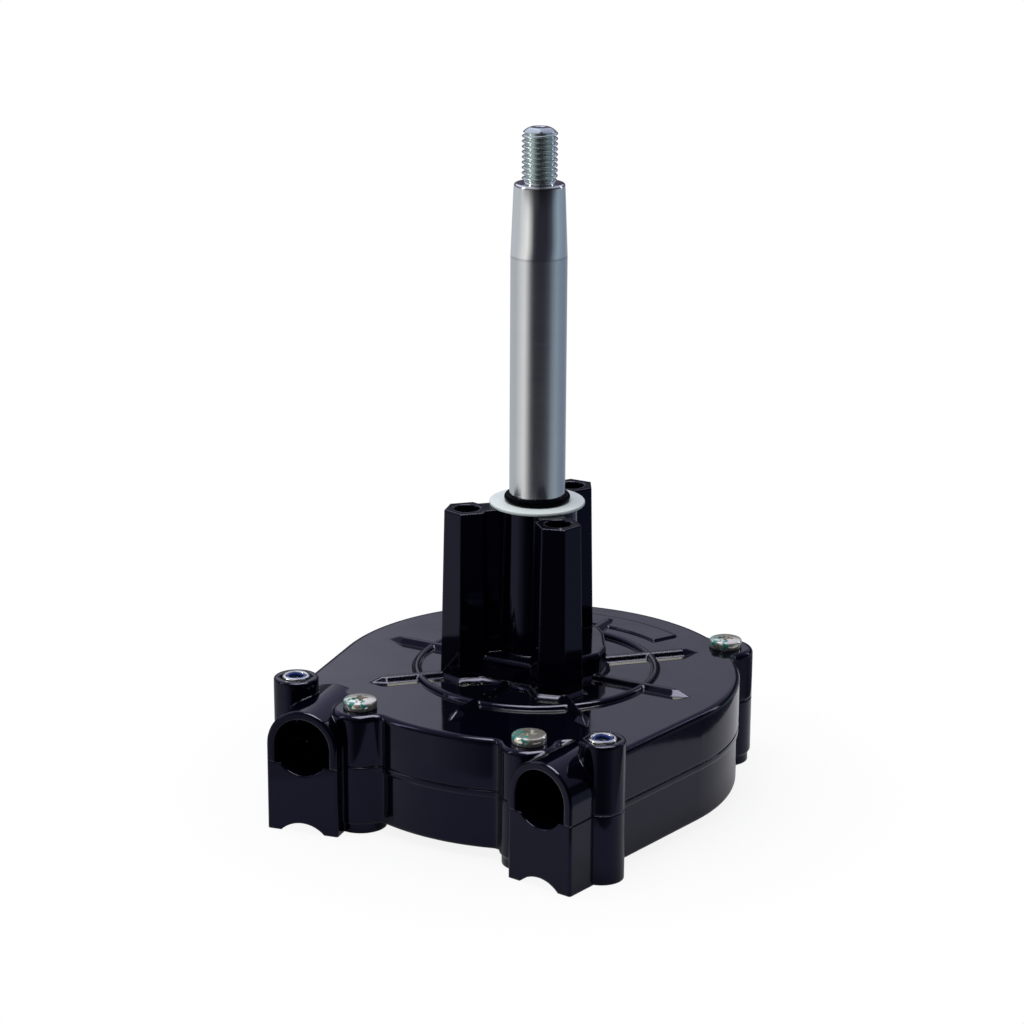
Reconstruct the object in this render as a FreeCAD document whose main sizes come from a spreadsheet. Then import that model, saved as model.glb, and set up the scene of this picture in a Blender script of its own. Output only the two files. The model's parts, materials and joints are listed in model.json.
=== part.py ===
import FreeCAD, Part
import math
import os
import re
import Sketcher

# Rotary steering helm for a boat: a round moulded gearbox in two halves, with a tall
# shaft tower, two cable ports and a planetary reduction between shaft and cable wheel.
# Millimetres. Origin on the shaft axis, in the plane that the housing stands on.
# +Z runs up the shaft, -Y points to the cable ports, +X to the right of them.

document = FreeCAD.newDocument("RotaryHelm")
sheet = document.addObject("Spreadsheet::Sheet", "Sizes")

SIZES = {
    # Housing body
    "body_radius": 70.6,
    "body_foot": 3.0,
    "split_height": 24.0,
    "plate_height": 42.0,
    "band_height": 2.2,
    "band_step": 0.6,
    "roof_thickness": 3.0,
    "floor_thickness": 4.0,
    "cavity_radius": 64.5,
    "edge_round": 2.0,
    "foot_round": 1.5,
    "split_chamfer": 0.3,
    "blend_round": 3.0,
    # Cable ports
    "cable_pitch_radius": 57.6,
    "cable_height": 30.3,
    "port_toe": 9.45,
    "port_reach": 71.3,
    "port_start": 30.0,
    "port_bore_radius": 10.0,
    "port_wall": 2.75,
    "mouth_round": 0.8,
    "socket_end": 44.5,
    "passage_radius": 6.3,
    "passage_start": 14.0,
    "barrel_start": 42.3,
    "strip_reach": 50.0,
    "notch_radius": 11.0,
    "notch_half_width": 7.8,
    "foot_start": 46.0,
    "notch_start": 44.0,
    # Lobes with the housing screws
    "lobe_circle": 71.0,
    "lobe_radius": 9.7,
    "lobe_foot_inset": 0.9,
    "front_lobe_angle": 27.0,
    "rear_lobe_angle": 42.0,
    # Bosses with the clamp-bolt nuts
    "nut_boss_offset": 10.2,
    "nut_boss_along": 51.6,
    "nut_boss_radius": 7.6,
    "nut_boss_top": 47.7,
    "nut_boss_round": 0.8,
    "clamp_hole_radius": 3.2,
    # Tower
    "tower_top": 101.5,
    "tower_radius": 13.65,
    "tower_draft": 1.1,
    "tower_bore_radius": 11.5,
    "web_half_width": 4.6,
    "boss_circle": 24.8,
    "boss_corner_radius": 7.9,
    "boss_hole_radius": 4.45,
    "boss_hole_depth": 26.0,
    "front_boss_angle": 45.0,
    "front_hex_turn": 30.0,
    "front_hex_skew": 15.0,
    "skirt_top": 51.0,
    "skirt_round": 1.2,
    "skirt_front_x": 13.6,
    "skirt_front_y": -20.6,
    "skirt_hip_x": 20.2,
    "skirt_hip_y": -6.2,
    "skirt_side_x": 24.2,
    "skirt_side_y": 1.6,
    "skirt_back_x": 22.5,
    "skirt_back_y": 9.2,
    "skirt_shoulder_x": 15.3,
    "skirt_shoulder_y": 21.5,
    "skirt_neck_x": 11.2,
    "skirt_neck_y": 26.1,
    "skirt_tail_x": 4.5,
    "skirt_tail_y": 30.0,
    # Ornament on the top face
    "ring_radius": 42.7,
    "ring_width": 2.8,
    "ring_wall": 0.4,
    "ring_round": 1.42,
    "spoke_count": 8,
    "spoke_start": 20.0,
    "spoke_tip": 59.5,
    "spoke_point": 6.0,
    "spoke_half_width": 2.4,
    "spoke_height": 1.8,
    "spoke_slope": 42.0,
    "panel_inner": 50.2,
    "panel_outer": 60.2,
    "panel_half_angle": 27.5,
    "panel_height": 0.6,
    "sink": 0.5,
    # Shaft
    "shaft_radius": 8.9,
    "stem_radius": 9.525,
    "shaft_foot": 3.3,
    "journal_radius": 7.0,
    "shaft_shoulder": 11.7,
    "taper_start": 188.0,
    "taper_end": 212.0,
    "taper_end_radius": 8.55,
    "taper_chamfer": 0.6,
    "thread_radius": 6.0,
    "thread_relief": 0.9,
    "shaft_top": 230.6,
    "tip_radius": 3.2,
    "tip_drop": 1.3,
    "end_chamfer": 0.6,
    "centre_drill_radius": 0.9,
    # Steering-wheel key and gear key
    "wheel_key_radius": 9.5,
    "wheel_key_width": 4.75,
    "wheel_key_height": 199.0,
    "wheel_key_seat": 3.6,
    "wheel_key_out": 9.4,
    "gear_key_width": 4.0,
    "gear_key_depth": 2.0,
    # Gears
    "gear_module": 2.5,
    "sun_teeth": 15,
    "planet_teeth": 15,
    "ring_teeth": 45,
    "planet_count": 3,
    "pressure_angle": 20.0,
    "flank_steps": 3,
    "ring_tip_relief": 0.12,
    "backlash": 0.16,
    "tip_clearance": 0.25,
    "sun_bottom": 11.7,
    "gear_top": 21.5,
    "planet_bottom": 12.0,
    "ring_bottom": 11.0,
    "ring_top": 22.0,
    "ring_ledge_radius": 60.5,
    "lug_width": 8.0,
    "lug_root": 2.0,
    "lug_reach": 67.3,
    "lug_bottom": 15.0,
    # Cable wheel and planet carrier
    "wheel_bottom": 22.5,
    "wheel_radius": 58.8,
    "groove_radius": 6.3,
    "rim_inner": 47.5,
    "web_thickness": 7.0,
    "hub_radius": 17.0,
    "pin_radius": 5.0,
    "pin_bottom": 8.3,
    "pin_head_radius": 6.5,
    "pin_head_height": 1.5,
    "pin_top": 28.0,
    "plate_thickness": 2.0,
    "plate_inner": 25.0,
    "plate_outer": 49.0,
    # Bushes, washers, rings
    "lower_bush_radius": 9.0,
    "lower_bush_flange": 12.0,
    "flange_thickness": 1.6,
    "floor_boss_radius": 16.0,
    "tower_bush_length": 18.0,
    "tower_bush_lift": 1.0,
    "washer_radius": 16.3,
    "washer_thickness": 1.2,
    "o_ring_section": 1.2,
    "circlip_width": 1.2,
    "circlip_depth": 0.85,
    "circlip_radius": 11.1,
    "circlip_gap": 3.0,
    "thrust_washer_radius": 15.5,
    # Fasteners
    "screw_radius": 3.0,
    "screw_length": 30.0,
    "screw_head_radius": 5.75,
    "screw_head_rim": 2.1,
    "screw_head_dome": 1.1,
    "screw_point": 2.0,
    "nut_half_flat": 5.0,
    "nut_bottom": 42.0,
    "nut_hex_height": 4.6,
    "nut_collar_radius": 4.72,
    "nut_collar_height": 1.7,
    "nut_thread_radius": 2.6,
    "insert_radius": 3.15,
    "insert_bore_radius": 2.4,
    "insert_height": 1.6,
    # Fits
    "running_fit": 0.06,
    "press_fit": 0.02,
    "slide_fit": 0.2,
    "float_gap": 0.1,
    "clear_cut": 1.0,
}

for row, (name, size) in enumerate(SIZES.items(), start=1):
    sheet.set(f"A{row}", name)
    sheet.set(f"B{row}", str(size))
    sheet.setAlias(f"B{row}", name)
document.recompute()

PARTS = []
NEAR = 0.01


def bound(text):
    """Write an expression in the sheet's names: body_radius becomes Sizes.body_radius."""
    return re.sub(r"[a-z_]\w*", lambda word: f"Sizes.{word[0]}" if word[0] in SIZES else word[0], text)


def size(text):
    """The present value of such an expression."""
    result = sheet.evalExpression(bound(text))
    return float(getattr(result, "Value", result))


def origin_plane(body, role):
    for feature in body.Origin.OriginFeatures:
        if feature.Role == role:
            return feature
    raise ValueError(role)


def new_body(label):
    body = document.addObject("PartDesign::Body", label)
    body.Label = label
    PARTS.append(body)
    return body


def new_sketch(body, name, role="XY_Plane", lift="0"):
    """A sketch on one of the body's own origin planes, lifted along its normal."""
    sketch = body.newObject("Sketcher::SketchObject", f"{body.Name}_{name}")
    sketch.AttachmentSupport = [(origin_plane(body, role), "")]
    sketch.MapMode = "FlatFace"
    sketch.setExpression("AttachmentOffset.Base.z", bound(lift))
    return sketch


def hold(sketch, shape, vertex, x, y):
    """Hold a vertex at two distances from the sketch's origin."""
    for kind, text in (("DistanceX", x), ("DistanceY", y)):
        index = sketch.addConstraint(Sketcher.Constraint(kind, -1, 1, shape, vertex, size(text)))
        sketch.setExpression(f"Constraints[{index}]", bound(text))


def draw_circle(sketch, x, y, radius):
    centre = FreeCAD.Vector(size(x), size(y), 0)
    normal = FreeCAD.Vector(0, 0, 1)
    shape = sketch.addGeometry(Part.Circle(centre, normal, size(radius)), False)
    index = sketch.addConstraint(Sketcher.Constraint("Radius", shape, size(radius)))
    sketch.setExpression(f"Constraints[{index}]", bound(radius))
    hold(sketch, shape, 3, x, y)


def arc_curve(start, end, radius, bulge):
    """An arc from start to end; bulge +1 swells to the right of the way, -1 to the left."""
    chord = end - start
    half = chord.Length / 2
    across = FreeCAD.Vector(chord.y, -chord.x, 0).normalize()
    drop = math.sqrt(max(radius * radius - half * half, 0))
    centre = (start + end) * 0.5 - across * (drop * bulge)
    first, last = (start, end) if bulge > 0 else (end, start)
    begin = math.atan2(first.y - centre.y, first.x - centre.x)
    finish = math.atan2(last.y - centre.y, last.x - centre.x)
    if finish <= begin:
        finish += 2 * math.pi
    return Part.ArcOfCircle(Part.Circle(centre, FreeCAD.Vector(0, 0, 1), radius), begin, finish)


def draw_outline(sketch, corners, arcs=None):
    """A closed outline through the corners; arcs gives (radius, bulge) by first corner."""
    arcs = arcs or {}
    points = [FreeCAD.Vector(size(x), size(y), 0) for x, y in corners]
    count = len(points)
    ends = []
    for i, start in enumerate(points):
        end = points[(i + 1) % count]
        if i in arcs:
            radius, bulge = arcs[i]
            shape = sketch.addGeometry(arc_curve(start, end, size(radius), bulge), False)
            ends.append((shape, 1, 2) if bulge > 0 else (shape, 2, 1))
            index = sketch.addConstraint(Sketcher.Constraint("Radius", shape, size(radius)))
            sketch.setExpression(f"Constraints[{index}]", bound(radius))
        else:
            shape = sketch.addGeometry(Part.LineSegment(start, end), False)
            ends.append((shape, 1, 2))
    for i, (shape, first, last) in enumerate(ends):
        after, after_first, after_last = ends[(i + 1) % count]
        sketch.addConstraint(Sketcher.Constraint("Coincident", shape, last, after, after_first))
        hold(sketch, shape, first, *corners[i])


def pad(body, sketch, length, reverse=False, draft="0"):
    """Raise the sketch by the length; draft leans the walls inwards as they rise."""
    feature = body.newObject("PartDesign::Pad", sketch.Name + "_pad")
    feature.Profile = sketch
    sketch.Visibility = False
    feature.setExpression("Length", bound(length))
    feature.Reversed = reverse
    if draft != "0":
        feature.setExpression("TaperAngle", bound(f"-1 * ({draft})"))
    return feature


def pocket(body, sketch, length, reverse=False):
    """Sink the sketch by the length, against its normal unless reversed."""
    feature = body.newObject("PartDesign::Pocket", sketch.Name + "_cut")
    feature.Profile = sketch
    feature.setExpression("Length", bound(length))
    feature.Reversed = reverse
    return feature


def revolve(body, sketch, cut=False):
    """Turn the sketch about its own vertical axis."""
    kind = "PartDesign::Groove" if cut else "PartDesign::Revolution"
    feature = body.newObject(kind, sketch.Name + "_turn")
    feature.Profile = sketch
    feature.ReferenceAxis = (sketch, ["V_Axis"])
    feature.Angle = 360
    return feature


def repeat(body, feature, count):
    """Repeat a feature evenly about Z."""
    pattern = body.newObject("PartDesign::PolarPattern", feature.Name + "_ring")
    pattern.Originals = [feature]
    pattern.Axis = (origin_axis(body), [""])
    pattern.Angle = 360
    pattern.setExpression("Occurrences", bound(count))
    body.Tip = pattern
    return pattern


def origin_axis(body):
    for feature in body.Origin.OriginFeatures:
        if feature.Role == "Z_Axis":
            return feature
    raise ValueError("Z_Axis")


def level_edges(solid, height, clear="0"):
    """The names of a solid's edges that lie in one level, outside a clear radius."""
    names = []
    for i, edge in enumerate(solid.Edges, start=1):
        low = edge.BoundBox.ZMin
        high = edge.BoundBox.ZMax
        middle = edge.valueAt((edge.FirstParameter + edge.LastParameter) / 2)
        level = abs(low - size(height)) < NEAR and abs(high - size(height)) < NEAR
        if level and math.hypot(middle.x, middle.y) > size(clear):
            names.append(f"Edge{i}")
    return names


def round_edges(body, height, radius, clear="0"):
    """Round the edges of the body's present solid in one level."""
    document.recompute()
    base = body.Tip
    feature = body.newObject("PartDesign::Fillet", f"{body.Name}_round")
    feature.Base = (base, level_edges(base.Shape, height, clear))
    feature.setExpression("Radius", bound(radius))


def chamfer_edges(body, height, width):
    """Cut the edges of the body's present solid in one level at 45 degrees."""
    document.recompute()
    base = body.Tip
    feature = body.newObject("PartDesign::Chamfer", f"{body.Name}_chamfer")
    feature.Base = (base, level_edges(base.Shape, height))
    feature.setExpression("Size", bound(width))


def turned(label, corners, arcs=None):
    """A turned piece: its half section in the XZ plane, spun about Z."""
    body = new_body(label)
    sketch = new_sketch(body, "section", "XZ_Plane")
    draw_outline(sketch, corners, arcs)
    revolve(body, sketch)
    return body


def port_point(side, across, along):
    """A plan point beside a port: across from the shaft axis, along towards its mouth."""
    x = f"{side} * (({across}) * cos(port_toe) - ({along}) * sin(port_toe))"
    y = f"-1 * (({across}) * sin(port_toe) + ({along}) * cos(port_toe))"
    return x, y


def polar_point(radius, angle):
    return f"({radius}) * cos({angle})", f"({radius}) * sin({angle})"


LOBE_ANGLES = {
    "rear_right": "90 - rear_lobe_angle",
    "rear_left": "90 + rear_lobe_angle",
    "front_left": "270 - front_lobe_angle",
    "front_right": "270 + front_lobe_angle",
}
SIDES = {"left": -1, "right": 1}
SKIRT_CORNERS = ["front", "hip", "side", "back", "shoulder", "neck", "tail"]


def lobe_point(place):
    return polar_point("lobe_circle", LOBE_ANGLES[place])


def nut_point(side):
    return port_point(side, "cable_pitch_radius + nut_boss_offset", "nut_boss_along")


def port_sketch(body, name, side, along):
    """A sketch square to a port's axis, its origin on the line of the shaft axis."""
    sketch = body.newObject("Sketcher::SketchObject", f"{body.Name}_{name}")
    sketch.AttachmentSupport = [(origin_plane(body, "XZ_Plane"), "")]
    sketch.MapMode = "FlatFace"
    turn = FreeCAD.Rotation(FreeCAD.Vector(0, 1, 0), 1)
    sketch.AttachmentOffset = FreeCAD.Placement(FreeCAD.Vector(), turn)
    sketch.setExpression("AttachmentOffset.Rotation.Angle", bound(f"{-side} * port_toe"))
    sketch.setExpression("AttachmentOffset.Base.x", bound(f"{-side} * ({along}) * sin(port_toe)"))
    sketch.setExpression("AttachmentOffset.Base.z", bound(f"({along}) * cos(port_toe)"))
    return sketch


def strip_corners(side, radius):
    """The straight side wall's strip, from the round body to beside the port."""
    return [
        port_point(side, "cable_pitch_radius", "0"),
        port_point(side, radius, "0"),
        port_point(side, radius, "strip_reach"),
        port_point(side, "cable_pitch_radius", "strip_reach"),
    ]


def draw_block(sketch, side, along):
    """A port block's plan, from inside the body to its mouth."""
    inner = "cable_pitch_radius - port_bore_radius - port_wall"
    outer = "cable_pitch_radius + port_bore_radius + port_wall"
    draw_outline(sketch, [
        port_point(side, inner, along),
        port_point(side, outer, along),
        port_point(side, outer, "port_reach - mouth_round"),
        port_point(side, f"{outer} - mouth_round", "port_reach"),
        port_point(side, f"{inner} + mouth_round", "port_reach"),
        port_point(side, inner, "port_reach - mouth_round"),
    ], {2: ("mouth_round", -side), 4: ("mouth_round", -side)})


def plan_outline(label, radius):
    """The body's plan with its lobes and side strips, hollow corners rounded, as a face."""
    upward = FreeCAD.Vector(0, 0, 1)
    halfway = 0.5
    solids = [Part.makeCylinder(size(radius), 1)]
    for name in LOBE_ANGLES:
        centre = FreeCAD.Vector(*[size(text) for text in lobe_point(name)], 0)
        solids.append(Part.makeCylinder(size("lobe_radius"), 1, centre))
    for side in SIDES.values():
        corners = [FreeCAD.Vector(size(x), size(y), 0) for x, y in strip_corners(side, radius)]
        face = Part.Face(Part.makePolygon(corners + corners[:1]))
        solids.append(face.extrude(upward))
    whole = solids[0].multiFuse(solids[1:]).removeSplitter()
    plain = Part.Face(whole.slice(upward, halfway)[0])
    plain.translate(upward * -halfway)
    rounding = size("blend_round")
    shape = plain.makeOffset2D(rounding).makeOffset2D(-rounding)
    return outline_face(label, shape, "split_height")


def skirt_outline():
    """The plan of the tower's skirt, its corners rounded, as a face."""
    half = [(f"skirt_{corner}_x", f"skirt_{corner}_y") for corner in SKIRT_CORNERS]
    mirrored = [(f"-1 * {x}", y) for x, y in reversed(half)]
    corners = [FreeCAD.Vector(size(x), size(y), 0) for x, y in half + mirrored]
    plain = Part.Face(Part.makePolygon(corners + corners[:1]))
    rounding = size("blend_round")
    shape = plain.makeOffset2D(-rounding).makeOffset2D(rounding)
    return outline_face("skirt_plan", shape, "plate_height")


def outline_face(label, shape, height):
    outline = document.addObject("Part::Feature", label)
    outline.Shape = shape
    lift = FreeCAD.Vector(0, 0, size(height))
    outline.Placement = FreeCAD.Placement(lift, FreeCAD.Rotation())
    return outline


def pad_outline(body, outline, length, reverse):
    """Raise a plan outline, or sink it if reversed."""
    binder = body.newObject("PartDesign::SubShapeBinder", outline.Name + "_copy")
    binder.Support = outline
    feature = body.newObject("PartDesign::Pad", outline.Name + "_pad")
    feature.Profile = (binder, ["Face1"])
    feature.setExpression("Length", bound(length))
    feature.Reversed = reverse
    return feature


def make_upper_housing():
    """The moulded cover: round body, cable barrels, lobes, tower and raised ornament."""
    body = new_body("upper_housing")
    outline = plan_outline("cover_plan", "body_radius")
    pad_outline(body, outline, "plate_height - split_height", False)
    round_edges(body, "plate_height", "edge_round")
    chamfer_edges(body, "split_height", "split_chamfer")
    pad_outline(body, skirt_outline(), "skirt_top - plate_height", False)
    round_edges(body, "skirt_top", "skirt_round")
    sketch = new_sketch(body, "blocks", lift="split_height")
    for side in SIDES.values():
        draw_block(sketch, side, "port_start")
    pad(body, sketch, "cable_height - split_height")
    for name, side in SIDES.items():
        sketch = barrel_sketch(body, name, side)
        revolve_barrel(body, sketch)
    sketch = new_sketch(body, "below_split", lift="split_height")
    draw_circle(sketch, "0", "0", "2 * body_radius")
    pocket(body, sketch, "split_height")
    sketch = new_sketch(body, "nut_bosses", lift="split_height")
    for side in SIDES.values():
        draw_circle(sketch, *nut_point(side), "nut_boss_radius")
    pad(body, sketch, "nut_boss_top - split_height")
    round_edges(body, "nut_boss_top", "nut_boss_round")
    add_ornament(body)
    add_tower(body)
    cut_upper_inside(body)
    return body


def barrel_sketch(body, name, side):
    """Half section of a cable barrel in the plane of the split, beside the barrel's axis."""
    sketch = new_sketch(body, f"barrel_{name}", lift="cable_height")
    outer = "port_bore_radius + port_wall"
    pitch = "cable_pitch_radius"
    draw_outline(sketch, [
        port_point(side, pitch, f"barrel_start - {outer}"),
        port_point(side, f"{pitch} + {outer}", "barrel_start"),
        port_point(side, f"{pitch} + {outer}", "port_reach - mouth_round"),
        port_point(side, f"{pitch} + {outer} - mouth_round", "port_reach"),
        port_point(side, pitch, "port_reach"),
    ], {0: (outer, -side), 2: ("mouth_round", -side)})
    ends = [port_point(side, pitch, along) for along in ("0", "port_reach")]
    points = [FreeCAD.Vector(size(x), size(y), 0) for x, y in ends]
    axis = sketch.addGeometry(Part.LineSegment(*points), True)
    hold(sketch, axis, 1, *ends[0])
    hold(sketch, axis, 2, *ends[1])
    return sketch


def revolve_barrel(body, sketch):
    """Spin the barrel's half section about its straight inner edge."""
    feature = body.newObject("PartDesign::Revolution", sketch.Name + "_turn")
    feature.Profile = sketch
    feature.ReferenceAxis = (sketch, ["Axis0"])
    feature.Angle = 360
    return feature


def add_ornament(body):
    """A ring crossed by eight pointed spokes, and a bare raised panel behind."""
    sketch = new_sketch(body, "ring", "XZ_Plane")
    draw_outline(sketch, [
        ("ring_radius - ring_width", "plate_height - sink"),
        ("ring_radius", "plate_height - sink"),
        ("ring_radius", "plate_height + ring_wall"),
        ("ring_radius - ring_width", "plate_height + ring_wall"),
    ], {2: ("ring_round", 1)})
    revolve(body, sketch)
    sketch = new_sketch(body, "spoke", lift="plate_height")
    draw_outline(sketch, [
        ("spoke_start", "-1 * spoke_half_width"),
        ("spoke_tip - spoke_point", "-1 * spoke_half_width"),
        ("spoke_tip", "0"),
        ("spoke_tip - spoke_point", "spoke_half_width"),
        ("spoke_start", "spoke_half_width"),
    ])
    spoke = pad(body, sketch, "spoke_height", draft="spoke_slope")
    repeat(body, spoke, "spoke_count")
    sketch = new_sketch(body, "panel", lift="plate_height - sink")
    low = "90 - panel_half_angle"
    high = "90 + panel_half_angle"
    draw_outline(sketch, [
        polar_point("panel_inner", low),
        polar_point("panel_outer", low),
        polar_point("panel_outer", high),
        polar_point("panel_inner", high),
    ], {1: ("panel_outer", 1), 3: ("panel_inner", -1)})
    pad(body, sketch, "panel_height + sink")


def hexagon(x, y, radius, turn):
    """Six corners about a point, the first at the given turn."""
    corners = []
    for k in range(6):
        across, up = polar_point(radius, f"{turn} + {60 * k}")
        corners.append((f"{x} + {across}", f"{y} + {up}"))
    return corners


TOWER_BOSSES = {
    "rear": ("90", "0"),
    "front_left": ("180 + front_boss_angle", "front_hex_turn + front_hex_skew"),
    "front_right": ("360 - front_boss_angle", "front_hex_turn - front_hex_skew"),
}


def boss_point(place):
    return polar_point("boss_circle", TOWER_BOSSES[place][0])


def add_tower(body):
    """The shaft's tube and three hexagonal bosses joined to it by webs."""
    height = "tower_top - plate_height"
    sketch = new_sketch(body, "tube", lift="tower_top")
    draw_circle(sketch, "0", "0", "tower_radius")
    pad(body, sketch, height, reverse=True, draft="-1 * tower_draft")
    for place in TOWER_BOSSES:
        angle, turn = TOWER_BOSSES[place]
        sketch = new_sketch(body, f"web_{place}", lift="plate_height")
        draw_outline(sketch, web_corners(angle))
        pad(body, sketch, height)
        sketch = new_sketch(body, f"hex_{place}", lift="tower_top")
        draw_outline(sketch, hexagon(*boss_point(place), "boss_corner_radius", turn))
        pad(body, sketch, height, reverse=True, draft="-1 * tower_draft")


def web_corners(angle):
    """A web from the shaft axis to a tower boss."""
    corners = []
    for along, across in (("0", -1), ("boss_circle", -1), ("boss_circle", 1), ("0", 1)):
        x = f"({along}) * cos({angle}) - {across} * web_half_width * sin({angle})"
        y = f"({along}) * sin({angle}) + {across} * web_half_width * cos({angle})"
        corners.append((x, y))
    return corners


def cut_upper_inside(body):
    """Cavity, cable passages, shaft bore and every hole in the cover."""
    sketch = new_sketch(body, "cavity", lift="split_height")
    draw_circle(sketch, "0", "0", "cavity_radius")
    pocket(body, sketch, "plate_height - roof_thickness - split_height", reverse=True)
    for name, side in SIDES.items():
        cut_arch(body, f"socket_{name}", side, "port_bore_radius", "socket_end")
        cut_arch(body, f"passage_{name}", side, "passage_radius", "passage_start")
    sketch = new_sketch(body, "shaft_bore", lift="tower_top")
    draw_circle(sketch, "0", "0", "tower_bore_radius")
    pocket(body, sketch, "tower_top - plate_height + roof_thickness + clear_cut")
    sketch = new_sketch(body, "boss_holes", lift="tower_top")
    for place in TOWER_BOSSES:
        draw_circle(sketch, *boss_point(place), "boss_hole_radius")
    pocket(body, sketch, "boss_hole_depth")
    sketch = new_sketch(body, "screw_holes", lift="plate_height + clear_cut")
    for place in LOBE_ANGLES:
        draw_circle(sketch, *lobe_point(place), "screw_radius + slide_fit")
    pocket(body, sketch, "plate_height - split_height + 2 * clear_cut")
    sketch = new_sketch(body, "clamp_holes", lift="nut_boss_top")
    for side in SIDES.values():
        draw_circle(sketch, *nut_point(side), "clamp_hole_radius")
    pocket(body, sketch, "nut_boss_top - split_height + clear_cut")
    sketch = new_sketch(body, "nut_pockets", lift="nut_boss_top")
    for side in SIDES.values():
        corner = "(nut_half_flat + float_gap) / cos(30)"
        draw_outline(sketch, hexagon(*nut_point(side), corner, "30"))
    pocket(body, sketch, "nut_boss_top - nut_bottom")


def cut_arch(body, name, side, radius, end):
    """Cut a cable way with a round roof from a port's mouth, open at the split."""
    sketch = port_sketch(body, name, side, "port_reach")
    left = f"{side} * cable_pitch_radius - {radius}"
    right = f"{side} * cable_pitch_radius + {radius}"
    draw_outline(sketch, [
        (left, "split_height - clear_cut"),
        (right, "split_height - clear_cut"),
        (right, "cable_height"),
        (left, "cable_height"),
    ], {2: (radius, 1)})
    pocket(body, sketch, f"port_reach - {end}")


def make_lower_housing():
    """The moulded base: floor, wall with a raised band, port feet, lobes and bosses."""
    body = new_body("lower_housing")
    outline = plan_outline("base_plan", "body_radius - band_step")
    pad_outline(body, outline, "split_height - body_foot", True)
    round_edges(body, "body_foot", "foot_round")
    outline = plan_outline("band_plan", "body_radius")
    pad_outline(body, outline, "band_height", True)
    chamfer_edges(body, "split_height", "split_chamfer")
    sketch = new_sketch(body, "lobe_feet", lift="body_foot + foot_round")
    for place in LOBE_ANGLES:
        draw_circle(sketch, *lobe_point(place), "lobe_radius - lobe_foot_inset")
    pad(body, sketch, "body_foot + foot_round", reverse=True)
    sketch = new_sketch(body, "blocks", lift="split_height")
    for side in SIDES.values():
        draw_block(sketch, side, "foot_start")
    pad(body, sketch, "split_height", reverse=True)
    sketch = new_sketch(body, "nut_bosses", lift="split_height")
    for side in SIDES.values():
        draw_circle(sketch, *nut_point(side), "nut_boss_radius")
    pad(body, sketch, "split_height", reverse=True)
    sketch = new_sketch(body, "floor_boss")
    draw_circle(sketch, "0", "0", "floor_boss_radius")
    pad(body, sketch, "body_foot")

    cut_lower_inside(body)
    return body


def cut_lower_inside(body):
    """Cavity, ring-gear seat, bush seat, cable passages and every hole in the base."""
    sketch = new_sketch(body, "cavity", "XZ_Plane")
    draw_outline(sketch, [
        ("lower_bush_radius", "shaft_foot"),
        ("lower_bush_radius", "shaft_shoulder - slide_fit - flange_thickness"),
        ("floor_boss_radius", "shaft_shoulder - slide_fit - flange_thickness"),
        ("floor_boss_radius", "body_foot + floor_thickness"),
        ("ring_ledge_radius", "body_foot + floor_thickness"),
        ("ring_ledge_radius", "ring_bottom"),
        ("cavity_radius", "ring_bottom"),
        ("cavity_radius", "split_height + clear_cut"),
        ("0", "split_height + clear_cut"),
        ("0", "shaft_foot"),
    ])
    revolve(body, sketch, cut=True)
    sketch = new_sketch(body, "lug_slots", lift="split_height")
    draw_lugs(sketch, "lug_width / 2 + slide_fit", "lug_reach + slide_fit")
    pocket(body, sketch, "split_height - lug_bottom")
    for name, side in SIDES.items():
        sketch = port_sketch(body, f"passage_{name}", side, "port_reach")
        draw_circle(sketch, f"{side} * cable_pitch_radius", "cable_height", "port_bore_radius")
        pocket(body, sketch, "port_reach - socket_end")
    for name, side in SIDES.items():
        sketch = port_sketch(body, f"notch_{name}", side, "port_reach")
        centre = f"{side} * cable_pitch_radius"
        draw_outline(sketch, [
            (f"{centre} - notch_half_width", "-1 * clear_cut"),
            (f"{centre} + notch_half_width", "-1 * clear_cut"),
            (f"{centre} + notch_half_width", "0"),
            (f"{centre} - notch_half_width", "0"),
        ], {2: ("notch_radius", 1)})
        pocket(body, sketch, "port_reach - notch_start")
    sketch = new_sketch(body, "screw_holes", lift="split_height")
    for place in LOBE_ANGLES:
        draw_circle(sketch, *lobe_point(place), "screw_radius + press_fit")
    pocket(body, sketch, "split_height - plate_height + screw_length + clear_cut")
    sketch = new_sketch(body, "clamp_holes", lift="split_height")
    for side in SIDES.values():
        draw_circle(sketch, *nut_point(side), "clamp_hole_radius")
    pocket(body, sketch, "split_height + clear_cut")


def draw_lugs(sketch, half_width, reach):
    """Four outlines across the ring gear's rim, on the axes."""
    inside = "cavity_radius - lug_root"
    for across, up in ((1, 0), (0, 1), (-1, 0), (0, -1)):
        corners = []
        for radius, turn in ((inside, -1), (reach, -1), (reach, 1), (inside, 1)):
            x = f"{across} * ({radius}) - {up * turn} * ({half_width})"
            y = f"{up} * ({radius}) + {across * turn} * ({half_width})"
            corners.append((x, y))
        draw_outline(sketch, corners)


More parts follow.
